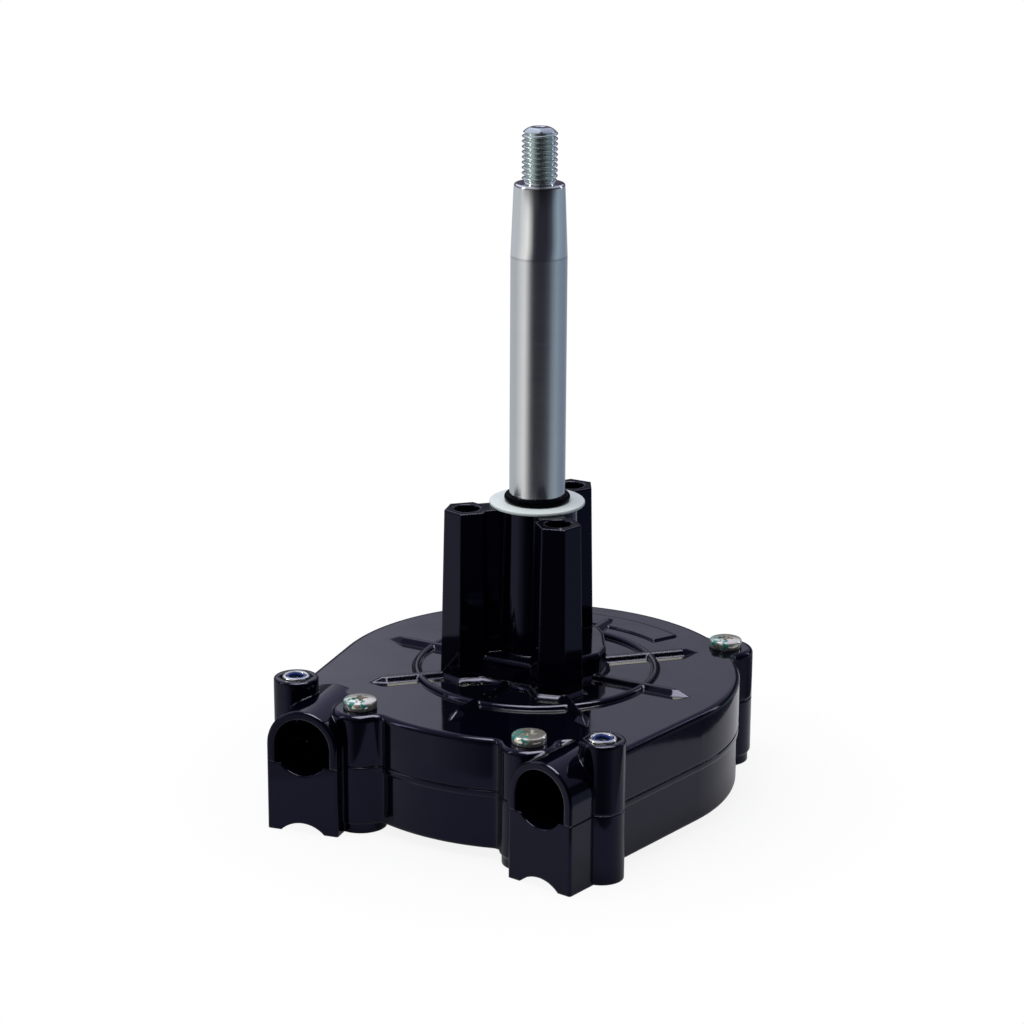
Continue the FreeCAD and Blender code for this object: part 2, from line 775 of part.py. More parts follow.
def make_shaft():
    """The ground steel shaft: journal, keyed seat, taper and threaded end."""
    groove_top = "tower_top - tower_bush_lift - tower_bush_length - float_gap"
    groove_foot = f"{groove_top} - circlip_width - float_gap"
    stem_foot = "tower_top + washer_thickness + 2 * o_ring_section + 2 * float_gap"
    body = turned("steering_shaft", [
        ("0", "shaft_foot + float_gap"),
        ("journal_radius - end_chamfer", "shaft_foot + float_gap"),
        ("journal_radius", "shaft_foot + float_gap + end_chamfer"),
        ("journal_radius", "shaft_shoulder"),
        ("shaft_radius", "shaft_shoulder"),
        ("shaft_radius", groove_foot),
        ("shaft_radius - circlip_depth", groove_foot),
        ("shaft_radius - circlip_depth", groove_top),
        ("shaft_radius", groove_top),
        ("shaft_radius", stem_foot),
        ("stem_radius", stem_foot),
        ("stem_radius", "taper_start"),
        ("taper_end_radius", "taper_end - taper_chamfer"),
        ("taper_end_radius - taper_chamfer", "taper_end"),
        ("thread_radius - thread_relief", "taper_end"),
        ("thread_radius - thread_relief", "taper_end + thread_relief"),
        ("thread_radius", "taper_end + 2 * thread_relief"),
        ("thread_radius", "shaft_top - tip_drop - end_chamfer"),
        ("thread_radius - end_chamfer", "shaft_top - tip_drop"),
        ("tip_radius", "shaft_top"),
        ("centre_drill_radius", "shaft_top"),
        ("0", "shaft_top - centre_drill_radius"),
    ])
    sketch = new_sketch(body, "gear_keyway", lift="gear_top")
    draw_outline(sketch, [
        ("shaft_radius - gear_key_depth", "-1 * gear_key_width / 2"),
        ("shaft_radius + 1", "-1 * gear_key_width / 2"),
        ("shaft_radius + 1", "gear_key_width / 2"),
        ("shaft_radius - gear_key_depth", "gear_key_width / 2"),
    ])
    pocket(body, sketch, "gear_top - shaft_shoulder")
    sketch = new_sketch(body, "wheel_keyway", "YZ_Plane", "-1 * wheel_key_width / 2")
    draw_circle(sketch, "wheel_key_seat + wheel_key_radius", "wheel_key_height", "wheel_key_radius")
    pocket(body, sketch, "wheel_key_width", reverse=True)
    return body


def make_wheel_key():
    """A half-moon key in the taper, on the side away from the ports."""
    body = new_body("wheel_key")
    sketch = new_sketch(body, "disc", "YZ_Plane", "press_fit - wheel_key_width / 2")
    reach = "wheel_key_radius - press_fit"
    drop = "wheel_key_seat + wheel_key_radius - wheel_key_out"
    half = f"sqrt(({reach}) * ({reach}) - ({drop}) * ({drop}))"
    seat = "wheel_key_seat + press_fit"
    draw_outline(sketch, [
        ("wheel_key_out", f"wheel_key_height + {half}"),
        (seat, "wheel_key_height"),
        ("wheel_key_out", f"wheel_key_height - {half}"),
    ], {0: (reach, 1), 1: (reach, 1)})
    pad(body, sketch, "wheel_key_width - 2 * press_fit")


def make_gear_key():
    """A straight key between the shaft and the sun gear."""
    body = new_body("sun_gear_key")
    sketch = new_sketch(body, "section", lift="shaft_shoulder + press_fit")
    half = "gear_key_width / 2 - press_fit"
    draw_outline(sketch, [
        ("shaft_radius - gear_key_depth + press_fit", f"-1 * ({half})"),
        ("shaft_radius + gear_key_depth - press_fit", f"-1 * ({half})"),
        ("shaft_radius + gear_key_depth - press_fit", half),
        ("shaft_radius - gear_key_depth + press_fit", half),
    ])
    pad(body, sketch, "gear_top - shaft_shoulder - 2 * press_fit")


def involute_turn(base, radius):
    """How far, in radians, an involute has turned when it reaches a radius."""
    pressure = math.acos(min(base / radius, 1))
    return math.tan(pressure) - pressure


def gear_outline(teeth, inner, outer, turn, thinning):
    """A closed gear outline from tooth flanks between two radii, at a turn in radians.

    thinning is taken from half a tooth at the pitch circle; below zero it is added.
    """
    pitch = size("gear_module") * teeth / 2
    base = pitch * math.cos(math.radians(size("pressure_angle")))
    steps = int(size("flank_steps"))
    half_tooth = (math.pi * size("gear_module") / 4 - thinning) / pitch
    start = max(inner, base)
    radii = [start + (outer - start) * k / steps for k in range(steps + 1)]
    widths = [half_tooth + involute_turn(base, pitch) - involute_turn(base, r) for r in radii]
    if inner < start:
        radii.insert(0, inner)
        widths.insert(0, widths[0])
    edges = []
    first = None
    last = None
    for tooth in range(teeth):
        middle = turn + 2 * math.pi * tooth / teeth
        rise = [plan(r, middle - w) for r, w in zip(radii, widths)]
        fall = [plan(r, middle + w) for r, w in zip(radii, widths)][::-1]
        if last is not None:
            edges.append(round_edge(last, rise[0], middle - math.pi / teeth, inner))
        edges += [Part.makeLine(a, b) for a, b in zip(rise, rise[1:])]
        edges.append(round_edge(rise[-1], fall[0], middle, outer))
        edges += [Part.makeLine(a, b) for a, b in zip(fall, fall[1:])]
        first = first or rise[0]
        last = fall[-1]
    edges.append(round_edge(last, first, turn - math.pi / teeth, inner))
    return Part.Wire(edges)


def plan(radius, angle):
    return FreeCAD.Vector(radius * math.cos(angle), radius * math.sin(angle), 0)


def round_edge(start, end, angle, radius):
    return Part.Arc(start, plan(radius, angle), end).toShape()


def gear_piece(label, shape, place, lift):
    """A gear cut from solid, moved to its axis after its shape is set."""
    piece = document.addObject("Part::Feature", label)
    piece.Label = label
    piece.Shape = shape
    piece.Placement = FreeCAD.Placement(place + FreeCAD.Vector(0, 0, lift), FreeCAD.Rotation())
    PARTS.append(piece)


def spur_gear(teeth, turn, bore, height):
    """An outside gear with a round bore."""
    pitch = size("gear_module") * teeth / 2
    root = pitch - size("gear_module") * (1 + size("tip_clearance"))
    tip = pitch + size("gear_module")
    outline = gear_outline(teeth, root, tip, turn, size("backlash") / 4)
    solid = Part.Face(outline).extrude(FreeCAD.Vector(0, 0, height))
    return solid.cut(Part.makeCylinder(bore, height))


def planet_circle():
    return size("gear_module") * (size("sun_teeth") + size("planet_teeth")) / 2


def make_sun_gear():
    teeth = int(size("sun_teeth"))
    height = size("gear_top") - size("sun_bottom")
    solid = spur_gear(teeth, 0, size("shaft_radius") + size("press_fit"), height)
    width = size("gear_key_width")
    depth = size("gear_key_depth")
    corner = FreeCAD.Vector(0, -width / 2, 0)
    keyway = Part.makeBox(size("shaft_radius") + depth, width, height, corner)
    gear_piece("sun_gear", solid.cut(keyway), FreeCAD.Vector(), size("sun_bottom"))


def planet_turn(angle):
    """The turn at which a planet's gap meets the sun's tooth, a sun tooth lying on +X."""
    sun = int(size("sun_teeth"))
    planet = int(size("planet_teeth"))
    phase = (angle * sun / (2 * math.pi)) % 1
    return angle + math.pi + (phase - 0.5) * 2 * math.pi / planet


def planet_count():
    return int(size("planet_count"))


def planet_angle(index):
    return 2 * math.pi * index / planet_count() + math.pi / 2


def make_planets():
    """Three planet gears, each turned so that its teeth meet the sun's gaps."""
    teeth = int(size("planet_teeth"))
    height = size("gear_top") - size("planet_bottom")
    bore = size("pin_radius") + size("running_fit")
    for index in range(planet_count()):
        angle = planet_angle(index)
        solid = spur_gear(teeth, planet_turn(angle), bore, height)
        place = plan(planet_circle(), angle)
        gear_piece(f"planet_gear_{index + 1}", solid, place, size("planet_bottom"))


def make_ring_gear():
    """The fixed inside gear, with four lugs that the two housing halves trap."""
    teeth = int(size("ring_teeth"))
    planet = int(size("planet_teeth"))
    module = size("gear_module")
    pitch = module * teeth / 2
    tip = pitch - module * (1 - size("ring_tip_relief"))
    root = pitch + module * (1 + size("tip_clearance"))
    angle = planet_angle(0)
    share = planet / teeth
    turn = angle + (planet_turn(angle) - angle) * share
    gaps = gear_outline(teeth, tip, root, turn, -size("backlash") / 4)
    height = size("ring_top") - size("ring_bottom")
    rim = Part.makeCylinder(size("cavity_radius") - size("slide_fit"), height)
    lug_height = size("split_height") - size("lug_bottom") - size("float_gap")
    lug_lift = size("lug_bottom") - size("ring_bottom") + size("float_gap") / 2
    inside = size("cavity_radius") - size("lug_root")
    width = size("lug_width")
    for quarter in range(4):
        corner = FreeCAD.Vector(inside, -width / 2, lug_lift)
        lug = Part.makeBox(size("lug_reach") - inside, width, lug_height, corner)
        lug.rotate(FreeCAD.Vector(), FreeCAD.Vector(0, 0, 1), 90 * quarter)
        rim = rim.fuse(lug)
    opening = Part.Face(gaps).extrude(FreeCAD.Vector(0, 0, height))
    gear_piece("ring_gear", rim.cut(opening), FreeCAD.Vector(), size("ring_bottom"))


def make_cable_wheel():
    """The wheel that drives the cable core, its planets' pins pressed in from below."""
    top = "2 * cable_height - wheel_bottom"
    web_top = "wheel_bottom + web_thickness"
    bore = "shaft_radius + running_fit"
    depth = "wheel_radius - cable_pitch_radius"
    half = f"sqrt(groove_radius * groove_radius - ({depth}) * ({depth}))"
    floor = "cable_pitch_radius - groove_radius"
    body = turned("cable_wheel", [
        (bore, "wheel_bottom"),
        ("wheel_radius", "wheel_bottom"),
        ("wheel_radius", f"cable_height - {half}"),
        (floor, "cable_height"),
        ("wheel_radius", f"cable_height + {half}"),
        ("wheel_radius", top),
        ("rim_inner", top),
        ("rim_inner", web_top),
        ("hub_radius", web_top),
        ("hub_radius", top),
        (bore, top),
    ], {2: ("groove_radius", -1), 3: ("groove_radius", -1)})
    sketch = new_sketch(body, "pin_holes", lift="wheel_bottom")
    draw_pins(sketch, "pin_radius + press_fit")
    pocket(body, sketch, "pin_top - wheel_bottom + float_gap", reverse=True)


def pin_point(index):
    circle = "gear_module * (sun_teeth + planet_teeth) / 2"
    return polar_point(circle, str(math.degrees(planet_angle(index))))


def draw_pins(sketch, radius):
    for index in range(planet_count()):
        draw_circle(sketch, *pin_point(index), radius)


def make_carrier_plate():
    """The flat ring under the planets, held by the heads of their pins."""
    body = new_body("carrier_plate")
    sketch = new_sketch(body, "ring", lift="pin_bottom + pin_head_height")
    draw_circle(sketch, "0", "0", "plate_outer")
    draw_circle(sketch, "0", "0", "plate_inner")
    draw_pins(sketch, "pin_radius + press_fit")
    pad(body, sketch, "plate_thickness")


def make_planet_pins():
    for index in range(planet_count()):
        piece = turned(f"planet_pin_{index + 1}", [
            ("0", "pin_bottom"),
            ("pin_head_radius", "pin_bottom"),
            ("pin_head_radius", "pin_bottom + pin_head_height"),
            ("pin_radius", "pin_bottom + pin_head_height"),
            ("pin_radius", "pin_top - end_chamfer"),
            ("pin_radius - end_chamfer", "pin_top"),
            ("0", "pin_top"),
        ])
        place(piece, *pin_point(index))


def place(piece, x, y):
    """Move a piece in plan by two bound distances."""
    piece.setExpression("Placement.Base.x", bound(x))
    piece.setExpression("Placement.Base.y", bound(y))


def ring_piece(label, inner, outer, foot, top):
    return turned(label, [(inner, foot), (outer, foot), (outer, top), (inner, top)])


def make_bushes_and_washers():
    """Plain bearings and flat washers on the shaft axis."""
    flange_top = "shaft_shoulder - slide_fit"
    turned("lower_bush", [
        ("journal_radius + running_fit", "shaft_foot"),
        ("lower_bush_radius - press_fit", "shaft_foot"),
        ("lower_bush_radius - press_fit", f"{flange_top} - flange_thickness"),
        ("lower_bush_flange", f"{flange_top} - flange_thickness"),
        ("lower_bush_flange", flange_top),
        ("journal_radius + running_fit", flange_top),
    ])
    bore = "shaft_radius + running_fit"
    skin = "tower_bore_radius - press_fit"
    top = "tower_top - tower_bush_lift"
    foot = "plate_height - tower_bush_lift"
    ring_piece("tower_bush_upper", bore, skin, f"{top} - tower_bush_length", top)
    ring_piece("tower_bush_lower", bore, skin, foot, f"{foot} + tower_bush_length")
    gap = "float_gap"
    loose = "shaft_radius + slide_fit"
    washer = "thrust_washer_radius"
    ring_piece("sun_thrust_washer", loose, washer, f"gear_top + {gap}", f"wheel_bottom - {gap}")
    roof = "plate_height - roof_thickness"
    wheel_top = "2 * cable_height - wheel_bottom"
    ring_piece("wheel_thrust_washer", loose, washer, f"{wheel_top} + {gap}", roof)
    ring_piece("nylon_washer", loose, "washer_radius", "tower_top", "tower_top + washer_thickness")


def make_o_ring():
    ring = document.addObject("Part::Torus", "shaft_o_ring")
    ring.Label = "shaft_o_ring"
    ring.setExpression("Radius1", bound("shaft_radius + o_ring_section"))
    ring.setExpression("Radius2", bound("o_ring_section - press_fit / 2"))
    lift = "tower_top + washer_thickness + float_gap + o_ring_section"
    ring.setExpression("Placement.Base.z", bound(lift))
    PARTS.append(ring)


def make_circlip():
    """An open spring ring in the shaft's groove, under the upper bush."""
    body = new_body("shaft_circlip")
    foot = "tower_top - tower_bush_lift - tower_bush_length - 2 * float_gap - circlip_width"
    sketch = new_sketch(body, "ring", lift=f"{foot} + press_fit")
    draw_circle(sketch, "0", "0", "circlip_radius")
    draw_circle(sketch, "0", "0", "shaft_radius - circlip_depth + press_fit")
    pad(body, sketch, "circlip_width - press_fit")
    sketch = new_sketch(body, "gap", lift=f"{foot} - clear_cut")
    draw_outline(sketch, [
        ("0", "-1 * circlip_gap / 2"),
        ("circlip_radius + 1", "-1 * circlip_gap / 2"),
        ("circlip_radius + 1", "circlip_gap / 2"),
        ("0", "circlip_gap / 2"),
    ])
    pocket(body, sketch, "circlip_width + 2 * clear_cut", reverse=True)


def make_screws():
    """Pan-head screws down through the cover's lobes into the base."""
    rim_top = "plate_height + screw_head_rim"
    half = "screw_head_radius"
    dome = f"({half} * {half} + screw_head_dome * screw_head_dome) / (2 * screw_head_dome)"
    foot = "plate_height - screw_length"
    for name in LOBE_ANGLES:
        piece = turned(f"housing_screw_{name}", [
            ("0", foot),
            ("screw_radius - screw_point / 2", foot),
            ("screw_radius", f"{foot} + screw_point"),
            ("screw_radius", "plate_height"),
            ("screw_head_radius", "plate_height"),
            ("screw_head_radius", rim_top),
            ("0", f"{rim_top} + screw_head_dome"),
        ], {5: (dome, 1)})
        place(piece, *lobe_point(name))


def make_lock_nuts():
    """Hexagon nuts with a round collar, each holding a soft insert ring."""
    collar_foot = "nut_bottom + nut_hex_height"
    top = f"{collar_foot} + nut_collar_height"
    seat = f"{top} - insert_height"
    for name, side in SIDES.items():
        body = new_body(f"lock_nut_{name}")
        sketch = new_sketch(body, "hexagon", lift="nut_bottom")
        draw_outline(sketch, hexagon("0", "0", "nut_half_flat / cos(30)", "30"))
        pad(body, sketch, "nut_hex_height")
        sketch = new_sketch(body, "collar", lift=collar_foot)
        draw_circle(sketch, "0", "0", "nut_collar_radius")
        pad(body, sketch, "nut_collar_height")
        sketch = new_sketch(body, "bore", lift=top)
        draw_circle(sketch, "0", "0", "nut_thread_radius")
        pocket(body, sketch, f"{top} - nut_bottom + clear_cut")
        sketch = new_sketch(body, "seat", lift=top)
        draw_circle(sketch, "0", "0", "insert_radius")
        pocket(body, sketch, "insert_height")
        place(body, *nut_point(side))
        insert = ring_piece(
            f"lock_nut_insert_{name}",
            "insert_bore_radius",
            "insert_radius - press_fit",
            seat,
            f"{top} - float_gap",
        )
        place(insert, *nut_point(side))


def check_and_export():
    """Stop on any failed object, then write each piece to its own file."""
    document.recompute()
    for item in document.Objects:
        if "Invalid" in item.State or "Error" in item.State:
            raise RuntimeError(f"{item.Name} failed: {item.State}")
    os.makedirs("parts", exist_ok=True)
    for piece in PARTS:
        shape = piece.Shape
        if shape.isNull() or not shape.isValid() or len(shape.Solids) != 1:
            raise RuntimeError(f"{piece.Label} is not one valid solid")
        shape.exportStep(f"parts/{piece.Label}.step")
        print(f"{piece.Label}: {shape.Volume / 1000:.2f} cm3")


make_upper_housing()
make_lower_housing()
make_shaft()
make_wheel_key()
make_gear_key()
make_sun_gear()
make_planets()
make_ring_gear()
make_cable_wheel()
make_carrier_plate()
make_planet_pins()
make_bushes_and_washers()
make_o_ring()
make_circlip()
make_screws()
make_lock_nuts()
check_and_export()
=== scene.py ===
import json
import math
import bmesh
import bpy
from mathutils import Matrix, Vector

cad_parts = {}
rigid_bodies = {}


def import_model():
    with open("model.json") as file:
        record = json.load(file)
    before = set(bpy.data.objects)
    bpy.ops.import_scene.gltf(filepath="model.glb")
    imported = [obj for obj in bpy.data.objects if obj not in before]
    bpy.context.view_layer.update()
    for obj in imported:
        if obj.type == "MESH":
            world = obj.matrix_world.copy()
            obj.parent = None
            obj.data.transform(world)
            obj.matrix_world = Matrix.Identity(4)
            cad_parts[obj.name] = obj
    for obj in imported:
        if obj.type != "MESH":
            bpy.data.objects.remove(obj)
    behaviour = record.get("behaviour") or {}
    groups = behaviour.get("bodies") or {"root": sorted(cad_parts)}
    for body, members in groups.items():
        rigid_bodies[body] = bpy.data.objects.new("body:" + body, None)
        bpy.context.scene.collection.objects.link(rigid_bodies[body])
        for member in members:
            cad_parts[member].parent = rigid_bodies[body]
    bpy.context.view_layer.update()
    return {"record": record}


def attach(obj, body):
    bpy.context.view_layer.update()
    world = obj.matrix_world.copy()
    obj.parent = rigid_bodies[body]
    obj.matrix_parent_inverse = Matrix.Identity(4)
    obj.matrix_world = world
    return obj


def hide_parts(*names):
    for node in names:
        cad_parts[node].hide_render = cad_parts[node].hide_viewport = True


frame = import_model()

# Rotary steering helm on a pale studio floor. Metres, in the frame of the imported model:
# +Z up the shaft, -Y towards the cable ports. Shapes are written in millimetres.

MM = 0.001

# Camera of the photograph: turn about Z, pitch below the horizon, roll, place and lens.
VIEW_TURN = math.radians(29.1)
VIEW_PITCH = math.radians(17.0)
VIEW_ROLL = math.radians(0.3)
CAMERA_PLACE = Vector((0.4813, -0.8823, 0.4055))
CAMERA_LENS = 108.3
SENSOR_WIDTH = 36.0

AHEAD = Vector((-math.sin(VIEW_TURN), math.cos(VIEW_TURN), 0))
ASIDE = Vector((math.cos(VIEW_TURN), math.sin(VIEW_TURN), 0))

FLOOR_RADIUS = 0.14
FLOOR_LEVEL = -0.0002

# How much of the white backdrop and of the white floor the shiny surfaces show
BACKDROP_SHINE = 0.25
FLOOR_SHINE = 0.12

# Heights at which the studio changes, as the sine of the angle above the horizon, each
# with a soft edge from the first value to the second
UNDER_STUDIO = (-0.60, -0.48)
LOW_STUDIO_TOP = (-0.345, -0.315)
TAPER_TURN = (-0.185, -0.155)
HORIZON = (-0.04, 0.04)
HAZE_FOOT = (0.30, 0.3215)
HAZE_TOP = (0.37, 0.42)
ZENITH = (0.6, 0.9)

# How straight behind the object the white backdrop stands, as a cosine
BACKDROP_EDGE = (0.84, 0.90)

# The studio, turning from the camera by its left to behind the object, then by its right
# back to the camera: near the floor, below the horizon, and above it
STUDIO_LOW = [
    (0.0, (0.11, 0.11, 0.12)),
    (0.06, (0.13, 0.13, 0.14)),
    (0.10, (0.46, 0.46, 0.47)),
    (0.165, (0.80, 0.80, 0.80)),
    (0.22, (0.70, 0.70, 0.71)),
    (0.30, (0.45, 0.46, 0.48)),
    (0.40, (0.30, 0.32, 0.36)),
    (0.50, (0.14, 0.15, 0.19)),
    (0.60, (0.05, 0.06, 0.09)),
    (0.70, (0.07, 0.08, 0.12)),
    (0.79, (0.40, 0.41, 0.44)),
    (0.84, (0.55, 0.56, 0.58)),
    (0.90, (0.24, 0.25, 0.26)),
    (1.0, (0.11, 0.11, 0.12)),
]
STUDIO_MIDDLE = [
    (0.0, (0.022, 0.022, 0.032)),
    (0.055, (0.024, 0.024, 0.034)),
    (0.09, (0.06, 0.06, 0.07)),
    (0.125, (0.42, 0.42, 0.42)),
    (0.165, (0.86, 0.86, 0.84)),
    (0.21, (0.74, 0.74, 0.75)),
    (0.29, (0.50, 0.53, 0.55)),
    (0.40, (0.50, 0.53, 0.57)),
    (0.50, (0.42, 0.44, 0.50)),
    (0.64, (0.20, 0.24, 0.31)),
    (0.73, (0.22, 0.28, 0.35)),
    (0.79, (0.28, 0.35, 0.42)),
    (0.84, (0.17, 0.22, 0.28)),
    (0.885, (0.05, 0.06, 0.08)),
    (0.94, (0.022, 0.022, 0.032)),
    (1.0, (0.022, 0.022, 0.032)),
]
STUDIO_HIGH = [
    (0.0, (0.035, 0.035, 0.045)),
    (0.10, (0.20, 0.20, 0.22)),
    (0.25, (0.56, 0.56, 0.62)),
    (0.40, (0.66, 0.66, 0.86)),
    (0.4945, (0.77, 0.77, 0.97)),
    (0.503, (0.98, 0.98, 1.22)),
    (0.517, (0.95, 0.95, 1.18)),
    (0.525, (0.58, 0.58, 0.80)),
    (0.537, (0.50, 0.50, 0.71)),
    (0.62, (0.44, 0.44, 0.62)),
    (0.75, (0.26, 0.27, 0.34)),
    (0.88, (0.05, 0.05, 0.06)),
    (1.0, (0.035, 0.035, 0.045)),
]


def make_camera():
    """The camera that sees the object as the photograph does."""
    data = bpy.data.cameras.new("camera")
    data.lens = CAMERA_LENS
    data.sensor_width = SENSOR_WIDTH
    data.clip_start = 0.01
    data.clip_end = 20
    camera = bpy.data.objects.new("camera", data)
    turn = Matrix.Rotation(VIEW_TURN, 4, "Z")
    tilt = Matrix.Rotation(math.pi / 2 - VIEW_PITCH, 4, "X")
    roll = Matrix.Rotation(VIEW_ROLL, 4, "Z")
    camera.matrix_world = Matrix.Translation(CAMERA_PLACE) @ turn @ tilt @ roll
    bpy.context.scene.collection.objects.link(camera)
    bpy.context.scene.camera = camera


class Nodes:
    """A short way to write the nodes of a material or of the world."""

    def __init__(self, tree):
        self.tree = tree
        tree.nodes.clear()

    def add(self, kind, **settings):
        node = self.tree.nodes.new(kind)
        for name, value in settings.items():
            setattr(node, name, value)
        return node

    def feed(self, socket, value):
        """Link a socket into an input, or write a plain value into it."""
        if isinstance(value, bpy.types.NodeSocket):
            self.tree.links.new(value, socket)
        elif isinstance(value, tuple) and len(value) == 3 and socket.type == "RGBA":
            socket.default_value = (*value, 1)
        else:
            socket.default_value = value

    def math(self, operation, first, second=0.0):
        node = self.add("ShaderNodeMath", operation=operation)
        self.feed(node.inputs[0], first)
        self.feed(node.inputs[1], second)
        return node.outputs[0]

    def ramp(self, factor, stops):
        node = self.add("ShaderNodeValToRGB")
        self.feed(node.inputs[0], factor)
        elements = node.color_ramp.elements
        while len(elements) < len(stops):
            elements.new(0.5)
        for element, (place, colour) in zip(elements, stops):
            element.position = place
            element.color = (*colour, 1)
        return node.outputs[0]

    def dot(self, vector, direction):
        node = self.add("ShaderNodeVectorMath", operation="DOT_PRODUCT")
        self.feed(node.inputs[0], vector)
        node.inputs[1].default_value = direction
        return node.outputs["Value"]

    def noise(self, vector, scale, detail=2.0, roughness=0.5):
        node = self.add("ShaderNodeTexNoise")
        self.feed(node.inputs["Vector"], vector)
        node.inputs["Scale"].default_value = scale
        node.inputs["Detail"].default_value = detail
        node.inputs["Roughness"].default_value = roughness
        return node.outputs["Fac"]

    def stretch(self, vector, scale):
        node = self.add("ShaderNodeMapping")
        self.feed(node.inputs["Vector"], vector)
        node.inputs["Scale"].default_value = scale
        return node.outputs["Vector"]

    def spread(self, value, low, high, start=0.3, end=0.7):
        """Map a value between start and end to a new range, and hold it there."""
        node = self.add("ShaderNodeMapRange")
        self.feed(node.inputs["Value"], value)
        node.inputs["From Min"].default_value = start
        node.inputs["From Max"].default_value = end
        node.inputs["To Min"].default_value = low
        node.inputs["To Max"].default_value = high
        return node.outputs["Result"]

    def mix(self, factor, first, second):
        node = self.add("ShaderNodeMix", data_type="RGBA")
        self.feed(node.inputs["Factor"], factor)
        colours = [socket for socket in node.inputs if socket.type == "RGBA"]
        self.feed(colours[0], first)
        self.feed(colours[1], second)
        return [socket for socket in node.outputs if socket.type == "RGBA"][0]

    def length(self, vector, scale):
        """Distance from the local origin, after a stretch; a zero flattens an axis."""
        node = self.add("ShaderNodeVectorMath", operation="LENGTH")
        self.feed(node.inputs[0], self.stretch(vector, scale))
        return node.outputs["Value"]


class Finish(Nodes):
    """A material in the making: its shader, and the place on its piece."""

    def __init__(self, name):
        self.material = bpy.data.materials.new(name)
        self.material.use_nodes = True
        super().__init__(self.material.node_tree)
        self.shader = self.add("ShaderNodeBsdfPrincipled")
        output = self.add("ShaderNodeOutputMaterial")
        self.feed(output.inputs["Surface"], self.shader.outputs[0])
        self.place = self.add("ShaderNodeTexCoord").outputs["Object"]

    def set(self, **values):
        for name, value in values.items():
            socket = self.shader.inputs[name.replace("_", " ")]
            self.feed(socket, value)

    def bump(self, height, strength, distance, edges=0.0):
        """Raise the surface by a height; edges softens corners by that radius first."""
        node = self.add("ShaderNodeBump")
        node.inputs["Strength"].default_value = strength
        node.inputs["Distance"].default_value = distance
        self.feed(node.inputs["Height"], height)
        if edges:
            bevel = self.add("ShaderNodeBevel", samples=8)
            bevel.inputs["Radius"].default_value = edges
            self.feed(node.inputs["Normal"], bevel.outputs["Normal"])
        self.feed(self.shader.inputs["Normal"], node.outputs["Normal"])


def plastic_finish():
    """Glossy navy-black moulding with a faint ripple and an uneven shine."""
    finish = Finish("moulded_black")
    cloud = finish.noise(finish.place, 55.0, 4.0, 0.6)
    patch = finish.noise(finish.place, 90.0, 4.0, 0.6)
    finish.set(
        Base_Color=finish.mix(cloud, (0.0006, 0.0006, 0.0022), (0.0012, 0.0012, 0.0045)),
        Roughness=finish.spread(patch, 0.055, 0.10),
        Specular_IOR_Level=0.28,
        Specular_Tint=(0.54, 0.54, 1.0),
    )
    ripple = finish.noise(finish.place, 90.0, 1.0)
    grain = finish.noise(finish.place, 2200.0, 2.0)
    height = finish.math("ADD", ripple, finish.math("MULTIPLY", grain, 0.04))
    finish.bump(height, 0.06, 0.0004, edges=0.001)
    return finish.material


# Heights, in metres, over which the taper's polish and the line under it come in
TAPER_EDGE = (0.1876, 0.1882)
TAPER_LINE = (0.1868, 0.1876)


def ground_finish():
    """Ground steel: fine rings round the shaft, a brighter polished taper."""
    finish = Finish("ground_steel")
    rings = finish.noise(finish.stretch(finish.place, (60, 60, 6500)), 1.0, 3.0, 0.6)
    bands = finish.noise(finish.stretch(finish.place, (8, 8, 190)), 1.0, 2.0)
    stain = finish.noise(finish.place, 60.0, 4.0, 0.6)
    height = finish.dot(finish.place, (0, 0, 1))
    taper = finish.spread(height, 0.0, 1.0, *TAPER_EDGE)
    line = finish.math("SUBTRACT", finish.spread(height, 0.0, 1.0, *TAPER_LINE), taper)
    rough = finish.spread(rings, 0.19, 0.235)
    rough = finish.math("SUBTRACT", rough, finish.math("MULTIPLY", taper, 0.10))
    rough = finish.math("ADD", rough, finish.spread(stain, -0.015, 0.02))
    tone = finish.mix(bands, (0.72, 0.73, 0.745), (0.76, 0.77, 0.785))
    tone = finish.mix(finish.math("MULTIPLY", taper, 0.8), tone, (0.90, 0.91, 0.91))
    tone = finish.mix(finish.math("MULTIPLY", line, 0.35), tone, (0.30, 0.30, 0.32))
    finish.set(Base_Color=tone, Metallic=1.0, Roughness=rough)
    finish.bump(rings, 0.012, 0.00002)
    return finish.material


def zinc_finish(name, tone, dull, relief=0.03):
    """Plated steel with soft blotches and short scratches."""
    finish = Finish(name)
    blotch = finish.noise(finish.place, 420.0, 4.0, 0.6)
    scratch = finish.noise(finish.stretch(finish.place, (900, 5200, 900)), 1.0, 2.0)
    darker = tuple(0.88 * part for part in tone)
    finish.set(
        Base_Color=finish.mix(blotch, darker, tone),
        Metallic=1.0,
        Roughness=finish.spread(blotch, dull, dull + 0.10),
    )
    finish.bump(scratch, relief, 0.00003)
    return finish.material


